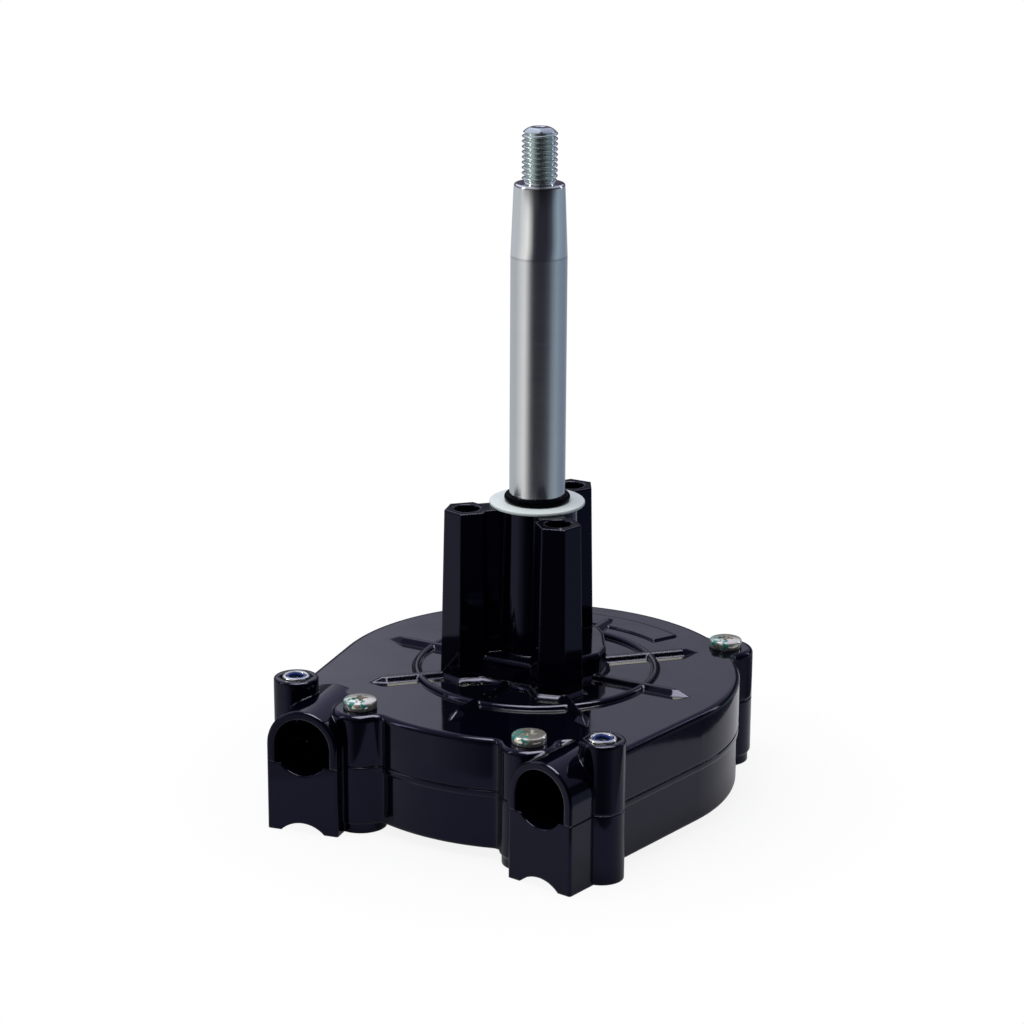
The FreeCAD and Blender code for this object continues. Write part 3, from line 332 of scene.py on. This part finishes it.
def screw_finish():
    """Warm nickel plate with smears of teal locking paint in and round the recess."""
    finish = Finish("nickel_plate")
    blotch = finish.noise(finish.place, 700.0, 5.0, 0.6)
    reach = finish.length(finish.place, (1, 1, 0))
    cloud = finish.noise(finish.place, 420.0, 3.0, 0.55)
    side = finish.dot(finish.place, (-0.8, -0.6, 0))
    near = finish.spread(reach, 0.15, 0.0, 0.0015, 0.0052)
    near = finish.math("ADD", near, finish.spread(side, -0.12, 0.12, -0.003, 0.003))
    paint = finish.spread(finish.math("ADD", cloud, near), 0.0, 1.0, 0.675, 0.70)
    metal = finish.mix(blotch, (0.80, 0.77, 0.65), (0.95, 0.92, 0.79))
    bare = finish.math("SUBTRACT", 1.0, paint)
    rough = finish.spread(blotch, 0.15, 0.22)
    finish.set(
        Base_Color=finish.mix(paint, metal, (0.014, 0.19, 0.16)),
        Metallic=finish.math("MULTIPLY", 0.84, bare),
        Roughness=finish.math("ADD", rough, finish.math("MULTIPLY", paint, 0.1)),
    )
    height = finish.math("ADD", finish.math("MULTIPLY", blotch, 0.2), paint)
    finish.bump(height, 0.15, 0.00005)
    return finish.material


def soft_finish(name, dark, light, rough, scale, relief, specular=0.5):
    """Nylon or rubber: a slight mottle, a dull uneven shine and a fine grain."""
    finish = Finish(name)
    mottle = finish.noise(finish.place, scale, 4.0, 0.6)
    grain = finish.noise(finish.place, scale * 9, 2.0)
    finish.set(
        Base_Color=finish.mix(mottle, dark, light),
        Roughness=finish.spread(mottle, rough, rough + 0.12),
        Specular_IOR_Level=specular,
    )
    finish.bump(grain, relief, 0.00004)
    return finish.material


def make_world():
    """White to the camera; to the object, a studio with lit and dark sides."""
    world = bpy.data.worlds.new("studio")
    world.use_nodes = True
    bpy.context.scene.world = world
    nodes = Nodes(world.node_tree)
    direction = nodes.add("ShaderNodeTexCoord").outputs["Generated"]
    ahead = nodes.dot(direction, AHEAD)
    aside = nodes.dot(direction, ASIDE)
    angle = nodes.math("ARCTAN2", aside, ahead)
    share = nodes.math("ADD", nodes.math("DIVIDE", angle, 2 * math.pi), 0.5)
    height = nodes.dot(direction, (0, 0, 1))
    share = nodes.math("ADD", share, nodes.spread(height, 0.0, 0.028, *TAPER_TURN))
    low = nodes.spread(height, 1.0, 0.0, *LOW_STUDIO_TOP)
    low = nodes.math("MULTIPLY", low, nodes.spread(height, 0.0, 1.0, *UNDER_STUDIO))
    high = nodes.spread(height, 0.0, 1.0, *HORIZON)
    colour = nodes.mix(low, nodes.ramp(share, STUDIO_MIDDLE), nodes.ramp(share, STUDIO_LOW))
    colour = nodes.mix(high, colour, nodes.ramp(share, STUDIO_HIGH))
    path = nodes.add("ShaderNodeLightPath")
    zenith = nodes.spread(height, 0.0, 1.0, *ZENITH)
    sky = nodes.math("MULTIPLY", path.outputs["Is Diffuse Ray"], zenith)
    colour = nodes.mix(sky, colour, (0.9, 0.9, 0.92))
    risen = nodes.spread(height, 0.0, 1.0, *HAZE_FOOT)
    haze = nodes.math("MULTIPLY", risen, 0.75)
    haze = nodes.math("ADD", haze, nodes.spread(height, 0.12, 0.30, *HAZE_TOP))
    haze = nodes.math("MAXIMUM", haze, nodes.math("SUBTRACT", 1.0, high))
    surround = nodes.add("ShaderNodeBackground")
    nodes.feed(surround.inputs["Color"], colour)
    nodes.feed(surround.inputs["Strength"], haze)
    backdrop = nodes.add("ShaderNodeBackground")
    backdrop.inputs["Color"].default_value = (1, 1, 1, 1)
    seen = nodes.math("MAXIMUM", path.outputs["Is Camera Ray"], path.outputs["Is Transmission Ray"])
    behind = nodes.spread(ahead, 0.0, BACKDROP_SHINE, *BACKDROP_EDGE)
    behind = nodes.math("MULTIPLY", behind, risen)
    shown = nodes.math("MAXIMUM", seen, nodes.math("MULTIPLY", path.outputs["Is Glossy Ray"], behind))
    choice = nodes.add("ShaderNodeMixShader")
    nodes.feed(choice.inputs[0], shown)
    nodes.feed(choice.inputs[1], surround.outputs[0])
    nodes.feed(choice.inputs[2], backdrop.outputs[0])
    output = nodes.add("ShaderNodeOutputWorld")
    nodes.feed(output.inputs["Surface"], choice.outputs[0])


def make_floor():
    """A pale round floor, white to the camera but for a soft shadow."""
    mesh = bpy.data.meshes.new("floor")
    builder = bmesh.new()
    bmesh.ops.create_circle(builder, cap_ends=True, segments=96, radius=FLOOR_RADIUS)
    builder.to_mesh(mesh)
    builder.free()
    floor = bpy.data.objects.new("floor", mesh)
    floor.location = (0, 0, FLOOR_LEVEL)
    bpy.context.scene.collection.objects.link(floor)
    material = bpy.data.materials.new("floor")
    material.use_nodes = True
    nodes = Nodes(material.node_tree)
    paint = nodes.add("ShaderNodeBsdfDiffuse")
    paint.inputs["Color"].default_value = (0.55, 0.55, 0.57, 1)
    glow = nodes.add("ShaderNodeEmission")
    path = nodes.add("ShaderNodeLightPath")
    place = nodes.add("ShaderNodeTexCoord").outputs["Object"]
    reach = nodes.length(place, (1, 1, 0))
    rim = nodes.spread(reach, 0.88, 1.0, 0.5 * FLOOR_RADIUS, 0.97 * FLOOR_RADIUS)
    seen = nodes.math("MAXIMUM", path.outputs["Is Camera Ray"], path.outputs["Is Transmission Ray"])
    seen = nodes.math("MULTIPLY", seen, rim)
    share = nodes.math("MAXIMUM", seen, nodes.math("MULTIPLY", path.outputs["Is Glossy Ray"], FLOOR_SHINE))
    choice = nodes.add("ShaderNodeMixShader")
    nodes.feed(choice.inputs[0], share)
    nodes.feed(choice.inputs[1], paint.outputs[0])
    nodes.feed(choice.inputs[2], glow.outputs[0])
    output = nodes.add("ShaderNodeOutputMaterial")
    nodes.feed(output.inputs["Surface"], choice.outputs[0])
    mesh.materials.append(material)


def make_lamp(name, place, target, width, height, power, colour=(1, 1, 1)):
    """An area lamp aimed at a point; sizes in metres, power in watts."""
    data = bpy.data.lights.new(name, "AREA")
    data.shape = "RECTANGLE"
    data.size = width
    data.size_y = height
    data.energy = power
    data.color = colour
    lamp = bpy.data.objects.new(name, data)
    aim = (Vector(target) - Vector(place)).to_track_quat("-Z", "Y")
    lamp.matrix_world = Matrix.Translation(place) @ aim.to_matrix().to_4x4()
    bpy.context.scene.collection.objects.link(lamp)
    return lamp


def make_lamps():
    """A soft lamp overhead, a sheen on the mouldings alone, and a strip on each side."""
    middle = (0, 0, 0.05)
    over = -AHEAD * 0.10 - ASIDE * 0.12 + Vector((0, 0, 1.0))
    soft = make_lamp("overhead", over, middle, 0.60, 0.40, 6.4)
    soft.visible_glossy = False
    crest = -AHEAD * 0.06 + ASIDE * 0.06 + Vector((0, 0, 0.95))
    sheen = make_lamp("sheen", crest, middle, 0.90, 0.55, 36.0, (1.0, 0.98, 0.72))
    sheen.visible_diffuse = False
    mouldings = bpy.data.collections.new("mouldings")
    for name in ("upper_housing", "lower_housing", "tower_foot"):
        mouldings.objects.link(bpy.data.objects[name])
    sheen.light_linking.receiver_collection = mouldings
    left = -ASIDE * 1.0 - AHEAD * 0.15 + Vector((0, 0, 0.55))
    make_lamp("left", left, (0, 0, 0.08), 0.12, 0.7, 1.6)
    right = ASIDE * 1.0 + AHEAD * 0.45 + Vector((0, 0, 0.45))
    make_lamp("right", right, (0, 0, 0.08), 0.10, 0.6, 0.8, (0.90, 0.94, 1.0))


def add_piece(name, mesh, materials, body, slot, *nodes):
    """Put a finished mesh in the scene in place of its CAD nodes."""
    for material in materials:
        mesh.materials.append(material)
    piece = bpy.data.objects.new(name, mesh)
    bpy.context.scene.collection.objects.link(piece)
    if nodes:
        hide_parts(*nodes)
    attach(piece, body)
    return piece


def lathe(name, rows, segments=96, sharp=32):
    """A closed mesh turned about Z from (radius, height) rows in millimetres.

    A radius may also be a function of the angle. The first and last rows may lie on the
    axis; otherwise the last row joins the first, which makes a ring.
    """
    builder = bmesh.new()
    rings = []
    for radius, height in rows:
        if radius == 0:
            rings.append([builder.verts.new((0, 0, height * MM))] * segments)
            continue
        ring = []
        for k in range(segments):
            angle = 2 * math.pi * k / segments
            reach = radius(angle) if callable(radius) else radius
            ring.append(builder.verts.new((
                reach * math.cos(angle) * MM,
                reach * math.sin(angle) * MM,
                height * MM,
            )))
        rings.append(ring)
    joins = list(zip(rings, rings[1:]))
    if rows[0][0] != 0:
        joins.append((rings[-1], rings[0]))
    for low, high in joins:
        for k in range(segments):
            after = (k + 1) % segments
            corners = []
            for vertex in (low[k], low[after], high[after], high[k]):
                if vertex not in corners:
                    corners.append(vertex)
            if len(corners) > 2:
                builder.faces.new(corners)
    bmesh.ops.recalc_face_normals(builder, faces=builder.faces)
    mesh = bpy.data.meshes.new(name)
    builder.to_mesh(mesh)
    builder.free()
    soften(mesh, sharp)
    return mesh


def soften(mesh, sharp):
    """Smooth shading, but for edges sharper than the angle in degrees."""
    mesh.shade_smooth()
    mesh.set_sharp_from_angle(angle=math.radians(sharp))


def rounded(corner, before, after, radius, steps=4):
    """Points of a small round that takes the place of a corner between two others."""
    corner, before, after = Vector(corner), Vector(before), Vector(after)
    start = corner + (before - corner).normalized() * radius
    end = corner + (after - corner).normalized() * radius
    points = []
    for k in range(steps + 1):
        t = k / steps
        points.append(tuple(start.lerp(corner, t).lerp(corner.lerp(end, t), t)))
    return points


def round_profile(points, rounds):
    """A profile whose numbered corners are rounded by the given radii."""
    result = []
    for i, point in enumerate(points):
        if i in rounds:
            before = points[i - 1]
            after = points[(i + 1) % len(points)]
            result += rounded(point, before, after, rounds[i])
        else:
            result.append(point)
    return result


# Shaft, as in the solids
SHAFT_FOOT = 3.4
JOURNAL_RADIUS = 7.0
SHAFT_SHOULDER = 11.7
BEARING_RADIUS = 8.9
STEM_FOOT = 105.3
STEM_RADIUS = 9.525
TAPER_START = 188.0
TAPER_END = 212.0
TAPER_END_RADIUS = 8.55
THREAD_FOOT = 212.6
THREAD_TOP = 229.3
THREAD_RADIUS = 6.0
THREAD_RELIEF_RADIUS = 5.0
THREAD_PITCH = 1.75
THREAD_DEPTH = 0.95
THREAD_ROWS = 16
SHAFT_TOP = 230.6


def thread_wave(phase):
    """Depth of a thread between its crest, 0, and its root, 1."""
    return 0.5 + 0.5 * math.cos(2 * math.pi * phase)


def thread_rows():
    """Rows up a helical thread that starts and ends on a chamfer."""
    count = int((THREAD_TOP - THREAD_FOOT) / THREAD_PITCH * THREAD_ROWS)
    rows = []
    for i in range(count + 1):
        height = THREAD_FOOT + (THREAD_TOP - THREAD_FOOT) * i / count
        low = THREAD_RELIEF_RADIUS + 0.15 + (height - THREAD_FOOT) * 1.1
        high = THREAD_RADIUS - 0.62 + (THREAD_TOP - height) * 1.0
        crest = min(THREAD_RADIUS, low, high)

        def radius(angle, height=height, crest=crest):
            phase = height / THREAD_PITCH - angle / (2 * math.pi)
            depth = THREAD_DEPTH * thread_wave(phase)
            return min(crest, THREAD_RADIUS - depth)

        rows.append((radius, height))
    return rows


def make_shaft():
    """The turned and threaded shaft, its thread in zinc and the rest ground steel."""
    stem = round_profile([
        (0, SHAFT_FOOT),
        (JOURNAL_RADIUS, SHAFT_FOOT),
        (JOURNAL_RADIUS, SHAFT_SHOULDER),
        (BEARING_RADIUS, SHAFT_SHOULDER),
        (BEARING_RADIUS, STEM_FOOT),
        (STEM_RADIUS, STEM_FOOT),
        (STEM_RADIUS, TAPER_START - 0.4),
        (STEM_RADIUS, TAPER_START),
        (TAPER_END_RADIUS, TAPER_END),
        (THREAD_RELIEF_RADIUS, TAPER_END),
    ], {1: 0.5, 3: 0.3, 8: 0.85, 9: 0.15})
    neck = [(THREAD_RELIEF_RADIUS, TAPER_END + 0.25), (THREAD_RELIEF_RADIUS + 0.1, THREAD_FOOT - 0.1)]
    tip = [
        (5.32, THREAD_TOP + 0.06),
        (4.75, THREAD_TOP + 0.55),
        (4.1, SHAFT_TOP - 0.35),
        (3.5, SHAFT_TOP - 0.08),
        (2.9, SHAFT_TOP),
        (1.15, SHAFT_TOP),
        (0.95, SHAFT_TOP - 0.15),
        (0.9, SHAFT_TOP - 2.4),
        (0, SHAFT_TOP - 2.8),
    ]
    rows = stem + neck + thread_rows() + tip
    mesh = lathe("shaft", rows, 120, 40)
    for face in mesh.polygons:
        if face.center.z > (TAPER_END + 0.5) * MM:
            face.material_index = 1
    zinc = zinc_finish("thread_zinc", (0.70, 0.79, 0.77), 0.15, 0.004)
    add_piece("shaft", mesh, [ground_finish(), zinc], "shaft", "shaft_steel", "steering_shaft")


# Washer and seal ring on the tower's top
WASHER_BORE = 9.15
WASHER_RADIUS = 16.3
WASHER_FOOT = 101.5
WASHER_TOP = 102.7
WASHER_DISH = 0.08
WASHER_DISH_RADIUS = 13.0
SEAL_RADIUS = 10.1
SEAL_SECTION = 1.18
SEAL_HEIGHT = 104.0
SEAL_STEPS = 20


def make_washer():
    """The nylon washer, its edges broken and its face very slightly dished."""
    rows = round_profile([
        (WASHER_BORE, WASHER_FOOT),
        (WASHER_RADIUS, WASHER_FOOT),
        (WASHER_RADIUS, WASHER_TOP),
        (WASHER_DISH_RADIUS, WASHER_TOP - WASHER_DISH),
        (WASHER_BORE, WASHER_TOP),
    ], {1: 0.3, 2: 0.6, 4: 0.2})
    mesh = lathe("washer", rows, 120)
    dark, light = (0.55, 0.61, 0.60), (0.62, 0.68, 0.67)
    nylon = soft_finish("white_nylon", dark, light, rough=0.36, scale=160.0, relief=0.08)
    add_piece("washer", mesh, [nylon], "housing", "white_nylon", "nylon_washer")


def make_o_ring():
    """The rubber ring that seals the shaft."""
    rows = []
    for k in range(SEAL_STEPS):
        angle = 2 * math.pi * k / SEAL_STEPS
        radius = SEAL_RADIUS + SEAL_SECTION * math.cos(angle)
        rows.append((radius, SEAL_HEIGHT + SEAL_SECTION * math.sin(angle)))
    mesh = lathe("o_ring", rows, 120, 60)
    dark, light = (0.001, 0.001, 0.002), (0.002, 0.002, 0.004)
    rubber = soft_finish("seal_rubber", dark, light, rough=0.22, scale=300.0, relief=0.05, specular=0.012)
    add_piece("o_ring", mesh, [rubber], "shaft", "seal_rubber", "shaft_o_ring")


def cut_mesh(mesh, cutter, name):
    """The mesh with another solid mesh cut out of it."""
    piece = bpy.data.objects.new(name, mesh)
    tool = bpy.data.objects.new(name + "_cutter", cutter)
    collection = bpy.context.scene.collection
    collection.objects.link(piece)
    collection.objects.link(tool)
    modifier = piece.modifiers.new("cut", "BOOLEAN")
    modifier.object = tool
    modifier.operation = "DIFFERENCE"
    modifier.solver = "EXACT"
    bpy.context.view_layer.update()
    graph = bpy.context.evaluated_depsgraph_get()
    result = bpy.data.meshes.new_from_object(piece.evaluated_get(graph))
    bpy.data.objects.remove(piece)
    bpy.data.objects.remove(tool)
    return result


def arm_cutter(name, turn):
    """One arm of a tapered cross, wide at the top, to cut a screw's recess."""
    builder = bmesh.new()
    corners = []
    spin = Matrix.Rotation(turn, 3, "Z")
    top = (RECESS_TOP, RECESS_REACH, RECESS_HALF_WIDTH)
    floor = (RECESS_TOP - RECESS_DEPTH, 0.42 * RECESS_REACH, 0.72 * RECESS_HALF_WIDTH)
    for height, length, half in (top, floor):
        for x, y in ((-length, -half), (length, -half), (length, half), (-length, half)):
            corners.append(builder.verts.new(spin @ Vector((x, y, height)) * MM))
    upper, lower = corners[:4], corners[4:]
    builder.faces.new(upper)
    builder.faces.new(lower[::-1])
    for k in range(4):
        after = (k + 1) % 4
        builder.faces.new((upper[after], upper[k], lower[k], lower[after]))
    bmesh.ops.recalc_face_normals(builder, faces=builder.faces)
    mesh = bpy.data.meshes.new(name)
    builder.to_mesh(mesh)
    builder.free()
    return mesh


# The cover plate's top, and the round at the foot of the tower: outlines that stay within
# the tower's reach are cut from the housing at the slice, and the round sinks in a little
PLATE_HEIGHT = 42.0
TOWER_REACH = 40.0
FOOT_SLICE = 44.0
FOOT_ROUND = 1.6
FOOT_SINK = 0.1
FOOT_STEPS = 8
SHORTEST_STEP = 0.12


def slice_loops(source, level):
    """Closed outlines, in millimetres, where a mesh meets a level plane."""
    builder = bmesh.new()
    builder.from_mesh(source.data)
    builder.transform(source.matrix_world)
    parts = builder.verts[:] + builder.edges[:] + builder.faces[:]
    cut = bmesh.ops.bisect_plane(builder, geom=parts, plane_co=(0, 0, level * MM), plane_no=(0, 0, 1))
    links = {}
    for part in cut["geom_cut"]:
        if isinstance(part, bmesh.types.BMEdge):
            ends = [(round(v.co.x / MM, 4), round(v.co.y / MM, 4)) for v in part.verts]
            for one, other in (ends, ends[::-1]):
                links.setdefault(one, []).append(other)
    builder.free()
    loops = []
    while links:
        loop = [min(links)]
        while True:
            after = [point for point in links.pop(loop[-1]) if point in links]
            if not after:
                break
            loop.append(after[0])
        loops.append([Vector(point) for point in loop])
    return loops


def loop_area(loop):
    """Area inside a closed outline, below zero where it runs clockwise."""
    return sum(a.x * b.y - b.x * a.y for a, b in zip(loop, loop[1:] + loop[:1])) / 2


def tidy_loop(loop):
    """The outline turned anticlockwise, without its very short steps."""
    if loop_area(loop) < 0:
        loop = loop[::-1]
    kept = []
    for point in loop:
        if not kept or (point - kept[-1]).length > SHORTEST_STEP:
            kept.append(point)
    return kept


def outward(before, point, after):
    """The way out at a corner of an anticlockwise outline, long enough to stay parallel."""
    first = (point - before).normalized()
    second = (after - point).normalized()
    way = Vector((first.y + second.y, -first.x - second.x)).normalized()
    return way / max(0.5, way.dot(Vector((first.y, -first.x))))


def make_tower_foot(finish):
    """The hollow round where the tower's skirt runs into the cover plate."""
    source = bpy.data.objects["upper_housing"]
    loops = [loop for loop in slice_loops(source, FOOT_SLICE) if max(p.length for p in loop) < TOWER_REACH]
    outline = tidy_loop(max(loops, key=lambda loop: abs(loop_area(loop))))
    profile = [(-FOOT_SINK, FOOT_ROUND)]
    for k in range(FOOT_STEPS):
        angle = math.pi / 2 * k / (FOOT_STEPS - 1)
        profile.append((FOOT_ROUND * (1 - math.cos(angle)), FOOT_ROUND * (1 - math.sin(angle))))
    profile += [(FOOT_ROUND, -FOOT_SINK), (-FOOT_SINK, -FOOT_SINK)]
    builder = bmesh.new()
    rings = []
    for i, point in enumerate(outline):
        way = outward(outline[i - 1], point, outline[(i + 1) % len(outline)])
        ring = []
        for reach, rise in profile:
            place = point + way * reach
            ring.append(builder.verts.new(Vector((place.x, place.y, PLATE_HEIGHT + rise)) * MM))
        rings.append(ring)
    for i, ring in enumerate(rings):
        after = rings[(i + 1) % len(rings)]
        for k in range(len(profile)):
            up = (k + 1) % len(profile)
            builder.faces.new((ring[k], after[k], after[up], ring[up]))
    bmesh.ops.recalc_face_normals(builder, faces=builder.faces)
    mesh = bpy.data.meshes.new("tower_foot")
    builder.to_mesh(mesh)
    builder.free()
    soften(mesh, 35)
    add_piece("tower_foot", mesh, [finish], "housing", "housing")


# Screws in the lobes: the angle of each round the shaft and the turn of its recess
LOBE_CIRCLE = 71.0
LOBE_TURNS = {
    "rear_right": (48.0, 18.0),
    "rear_left": (132.0, 70.0),
    "front_left": (243.0, 38.0),
    "front_right": (297.0, 5.0),
}
HEAD_TOP = 3.2
HEAD_DOME = 0.32
DOME_RADIUS = 5.05
RECESS_TOP = 3.6
RECESS_DEPTH = 2.7
RECESS_REACH = 3.0
RECESS_HALF_WIDTH = 0.78
HUB_FLOOR = 0.7
HUB_FLOOR_RADIUS = 0.9
HUB_TOP_RADIUS = 1.75


def screw_mesh(name):
    """A pan head with a domed top and a cross recess, and its shank."""
    rows = [(0, -30.0), (2.0, -30.0), (3.0, -28.0), (3.0, 0.0), (5.3, 0.0)]
    rows += [(5.62, 0.12), (5.72, 0.4), (5.75, 2.0), (5.68, 2.42), (5.45, 2.72)]
    for radius in (DOME_RADIUS, 4.4, 3.6, 2.8, 2.0, 1.2, 0.6):
        rows.append((radius, HEAD_TOP - HEAD_DOME * (radius / DOME_RADIUS) ** 2))
    rows.append((0, HEAD_TOP))
    mesh = lathe(name + "_blank", rows, 72, 40)
    for arm, turn in (("first", 0), ("second", math.pi / 2)):
        cutter = arm_cutter(f"{name}_{arm}", turn)
        mesh = cut_mesh(mesh, cutter, f"{name}_{arm}_cut")
    cone = [(0, HUB_FLOOR), (HUB_FLOOR_RADIUS, HUB_FLOOR), (HUB_TOP_RADIUS, RECESS_TOP), (0, RECESS_TOP)]
    hub = lathe(name + "_hub", cone, 24)
    mesh = cut_mesh(mesh, hub, name)
    soften(mesh, 30)
    return mesh


def make_screws():
    """The four screws of the housing, each in its lobe."""
    finish = screw_finish()
    for name, (angle, turn) in LOBE_TURNS.items():
        mesh = screw_mesh(f"screw_{name}")
        node = f"housing_screw_{name}"
        piece = add_piece(f"screw_{name}", mesh, [finish], "housing", "screw_nickel", node)
        around = math.radians(angle)
        place = Vector((math.cos(around), math.sin(around), 0)) * LOBE_CIRCLE
        place.z = PLATE_HEIGHT
        spin = Matrix.Rotation(math.radians(turn), 4, "Z")
        piece.matrix_world = Matrix.Translation(place * MM) @ spin


# Lock nuts in the bosses beside the cable ports
NUT_PLACE = Vector((58.41, -62.03, PLATE_HEIGHT))
NUT_HALF_FLAT = 5.0
NUT_THREAD_TOP = 4.4
NUT_THREAD_FOOT = 0.2
NUT_THREAD_ROWS = 30
NUT_THREAD_RADIUS = 2.6
NUT_THREAD_DEPTH = 0.25


def nut_mesh(name):
    """A lock nut: hexagon with broken corners, collar rolled over its insert, threads."""
    def hexagon(limit):
        def radius(angle):
            turn = (angle + math.radians(30)) % math.radians(60) - math.radians(30)
            return min(NUT_HALF_FLAT / math.cos(turn), limit)
        return radius

    rows = [(hexagon(9), 0.3), (hexagon(9), 4.0), (hexagon(5.3), 4.5)]
    rows += [(4.78, 4.6), (4.72, 4.8), (4.72, 5.6), (4.62, 5.95), (4.35, 6.18), (3.95, 6.28)]
    rows += [(3.55, 6.24), (3.28, 6.08), (3.17, 5.85), (3.17, 4.7), (2.95, 4.6)]
    for i in range(NUT_THREAD_ROWS + 1):
        height = NUT_THREAD_TOP - (NUT_THREAD_TOP - NUT_THREAD_FOOT) * i / NUT_THREAD_ROWS

        def radius(angle, height=height):
            return NUT_THREAD_RADIUS + NUT_THREAD_DEPTH * thread_wave(height - angle / (2 * math.pi))

        rows.append((radius, height))
    rows.append((3.0, 0.0))
    rows.append((4.85, 0.0))
    return lathe(name, rows, 72, 34)


def insert_mesh(name):
    """The nylon ring held by a lock nut's collar."""
    rows = [(3.13, 4.72), (3.13, 5.7), (3.05, 5.95), (2.85, 6.08), (2.6, 6.02), (2.42, 5.8)]
    rows += [(2.4, 5.5), (2.4, 4.9), (2.5, 4.72)]
    return lathe(name, rows, 72, 50)


def make_nuts():
    """The two lock nuts with their inserts."""
    zinc = zinc_finish("bright_zinc", (0.86, 0.88, 0.80), 0.12)
    dark, light = (0.006, 0.022, 0.12), (0.012, 0.04, 0.20)
    nylon = soft_finish("blue_nylon", dark, light, rough=0.22, scale=500.0, relief=0.1)
    for name, side in (("left", -1), ("right", 1)):
        place = Vector((side * NUT_PLACE.x, NUT_PLACE.y, NUT_PLACE.z)) * MM
        mesh = nut_mesh(f"nut_{name}")
        nut = add_piece(f"nut_{name}", mesh, [zinc], "housing", "zinc_steel", f"lock_nut_{name}")
        nut.location = place
        mesh = insert_mesh(f"insert_{name}")
        node = f"lock_nut_insert_{name}"
        insert = add_piece(f"insert_{name}", mesh, [nylon], "housing", "blue_nylon", node)
        insert.location = place


def finish_nodes(plastic):
    """Give every CAD node that stays in sight or inside its own finish."""
    steel = zinc_finish("gear_steel", (0.45, 0.45, 0.46), 0.24)
    alloy = zinc_finish("cast_alloy", (0.62, 0.63, 0.64), 0.36)
    plate = zinc_finish("zinc_plate", (0.68, 0.72, 0.76), 0.18)
    bronze = zinc_finish("bush_bronze", (0.55, 0.36, 0.16), 0.34)
    by_slot = {
        "housing": plastic,
        "shaft_steel": steel,
        "gear_steel": steel,
        "wheel_alloy": alloy,
        "zinc_steel": plate,
        "bush_bronze": bronze,
    }
    for part in frame["record"]["subparts"]:
        finish = by_slot.get(part["material_slot"])
        if finish:
            for slot in bpy.data.objects[part["node"]].material_slots:
                slot.material = finish


make_camera()
make_world()
make_floor()
plastic = plastic_finish()
finish_nodes(plastic)
make_tower_foot(plastic)
make_lamps()
make_shaft()
make_washer()
make_o_ring()
make_screws()
make_nuts()

bpy.context.scene.view_settings.view_transform = "Standard"
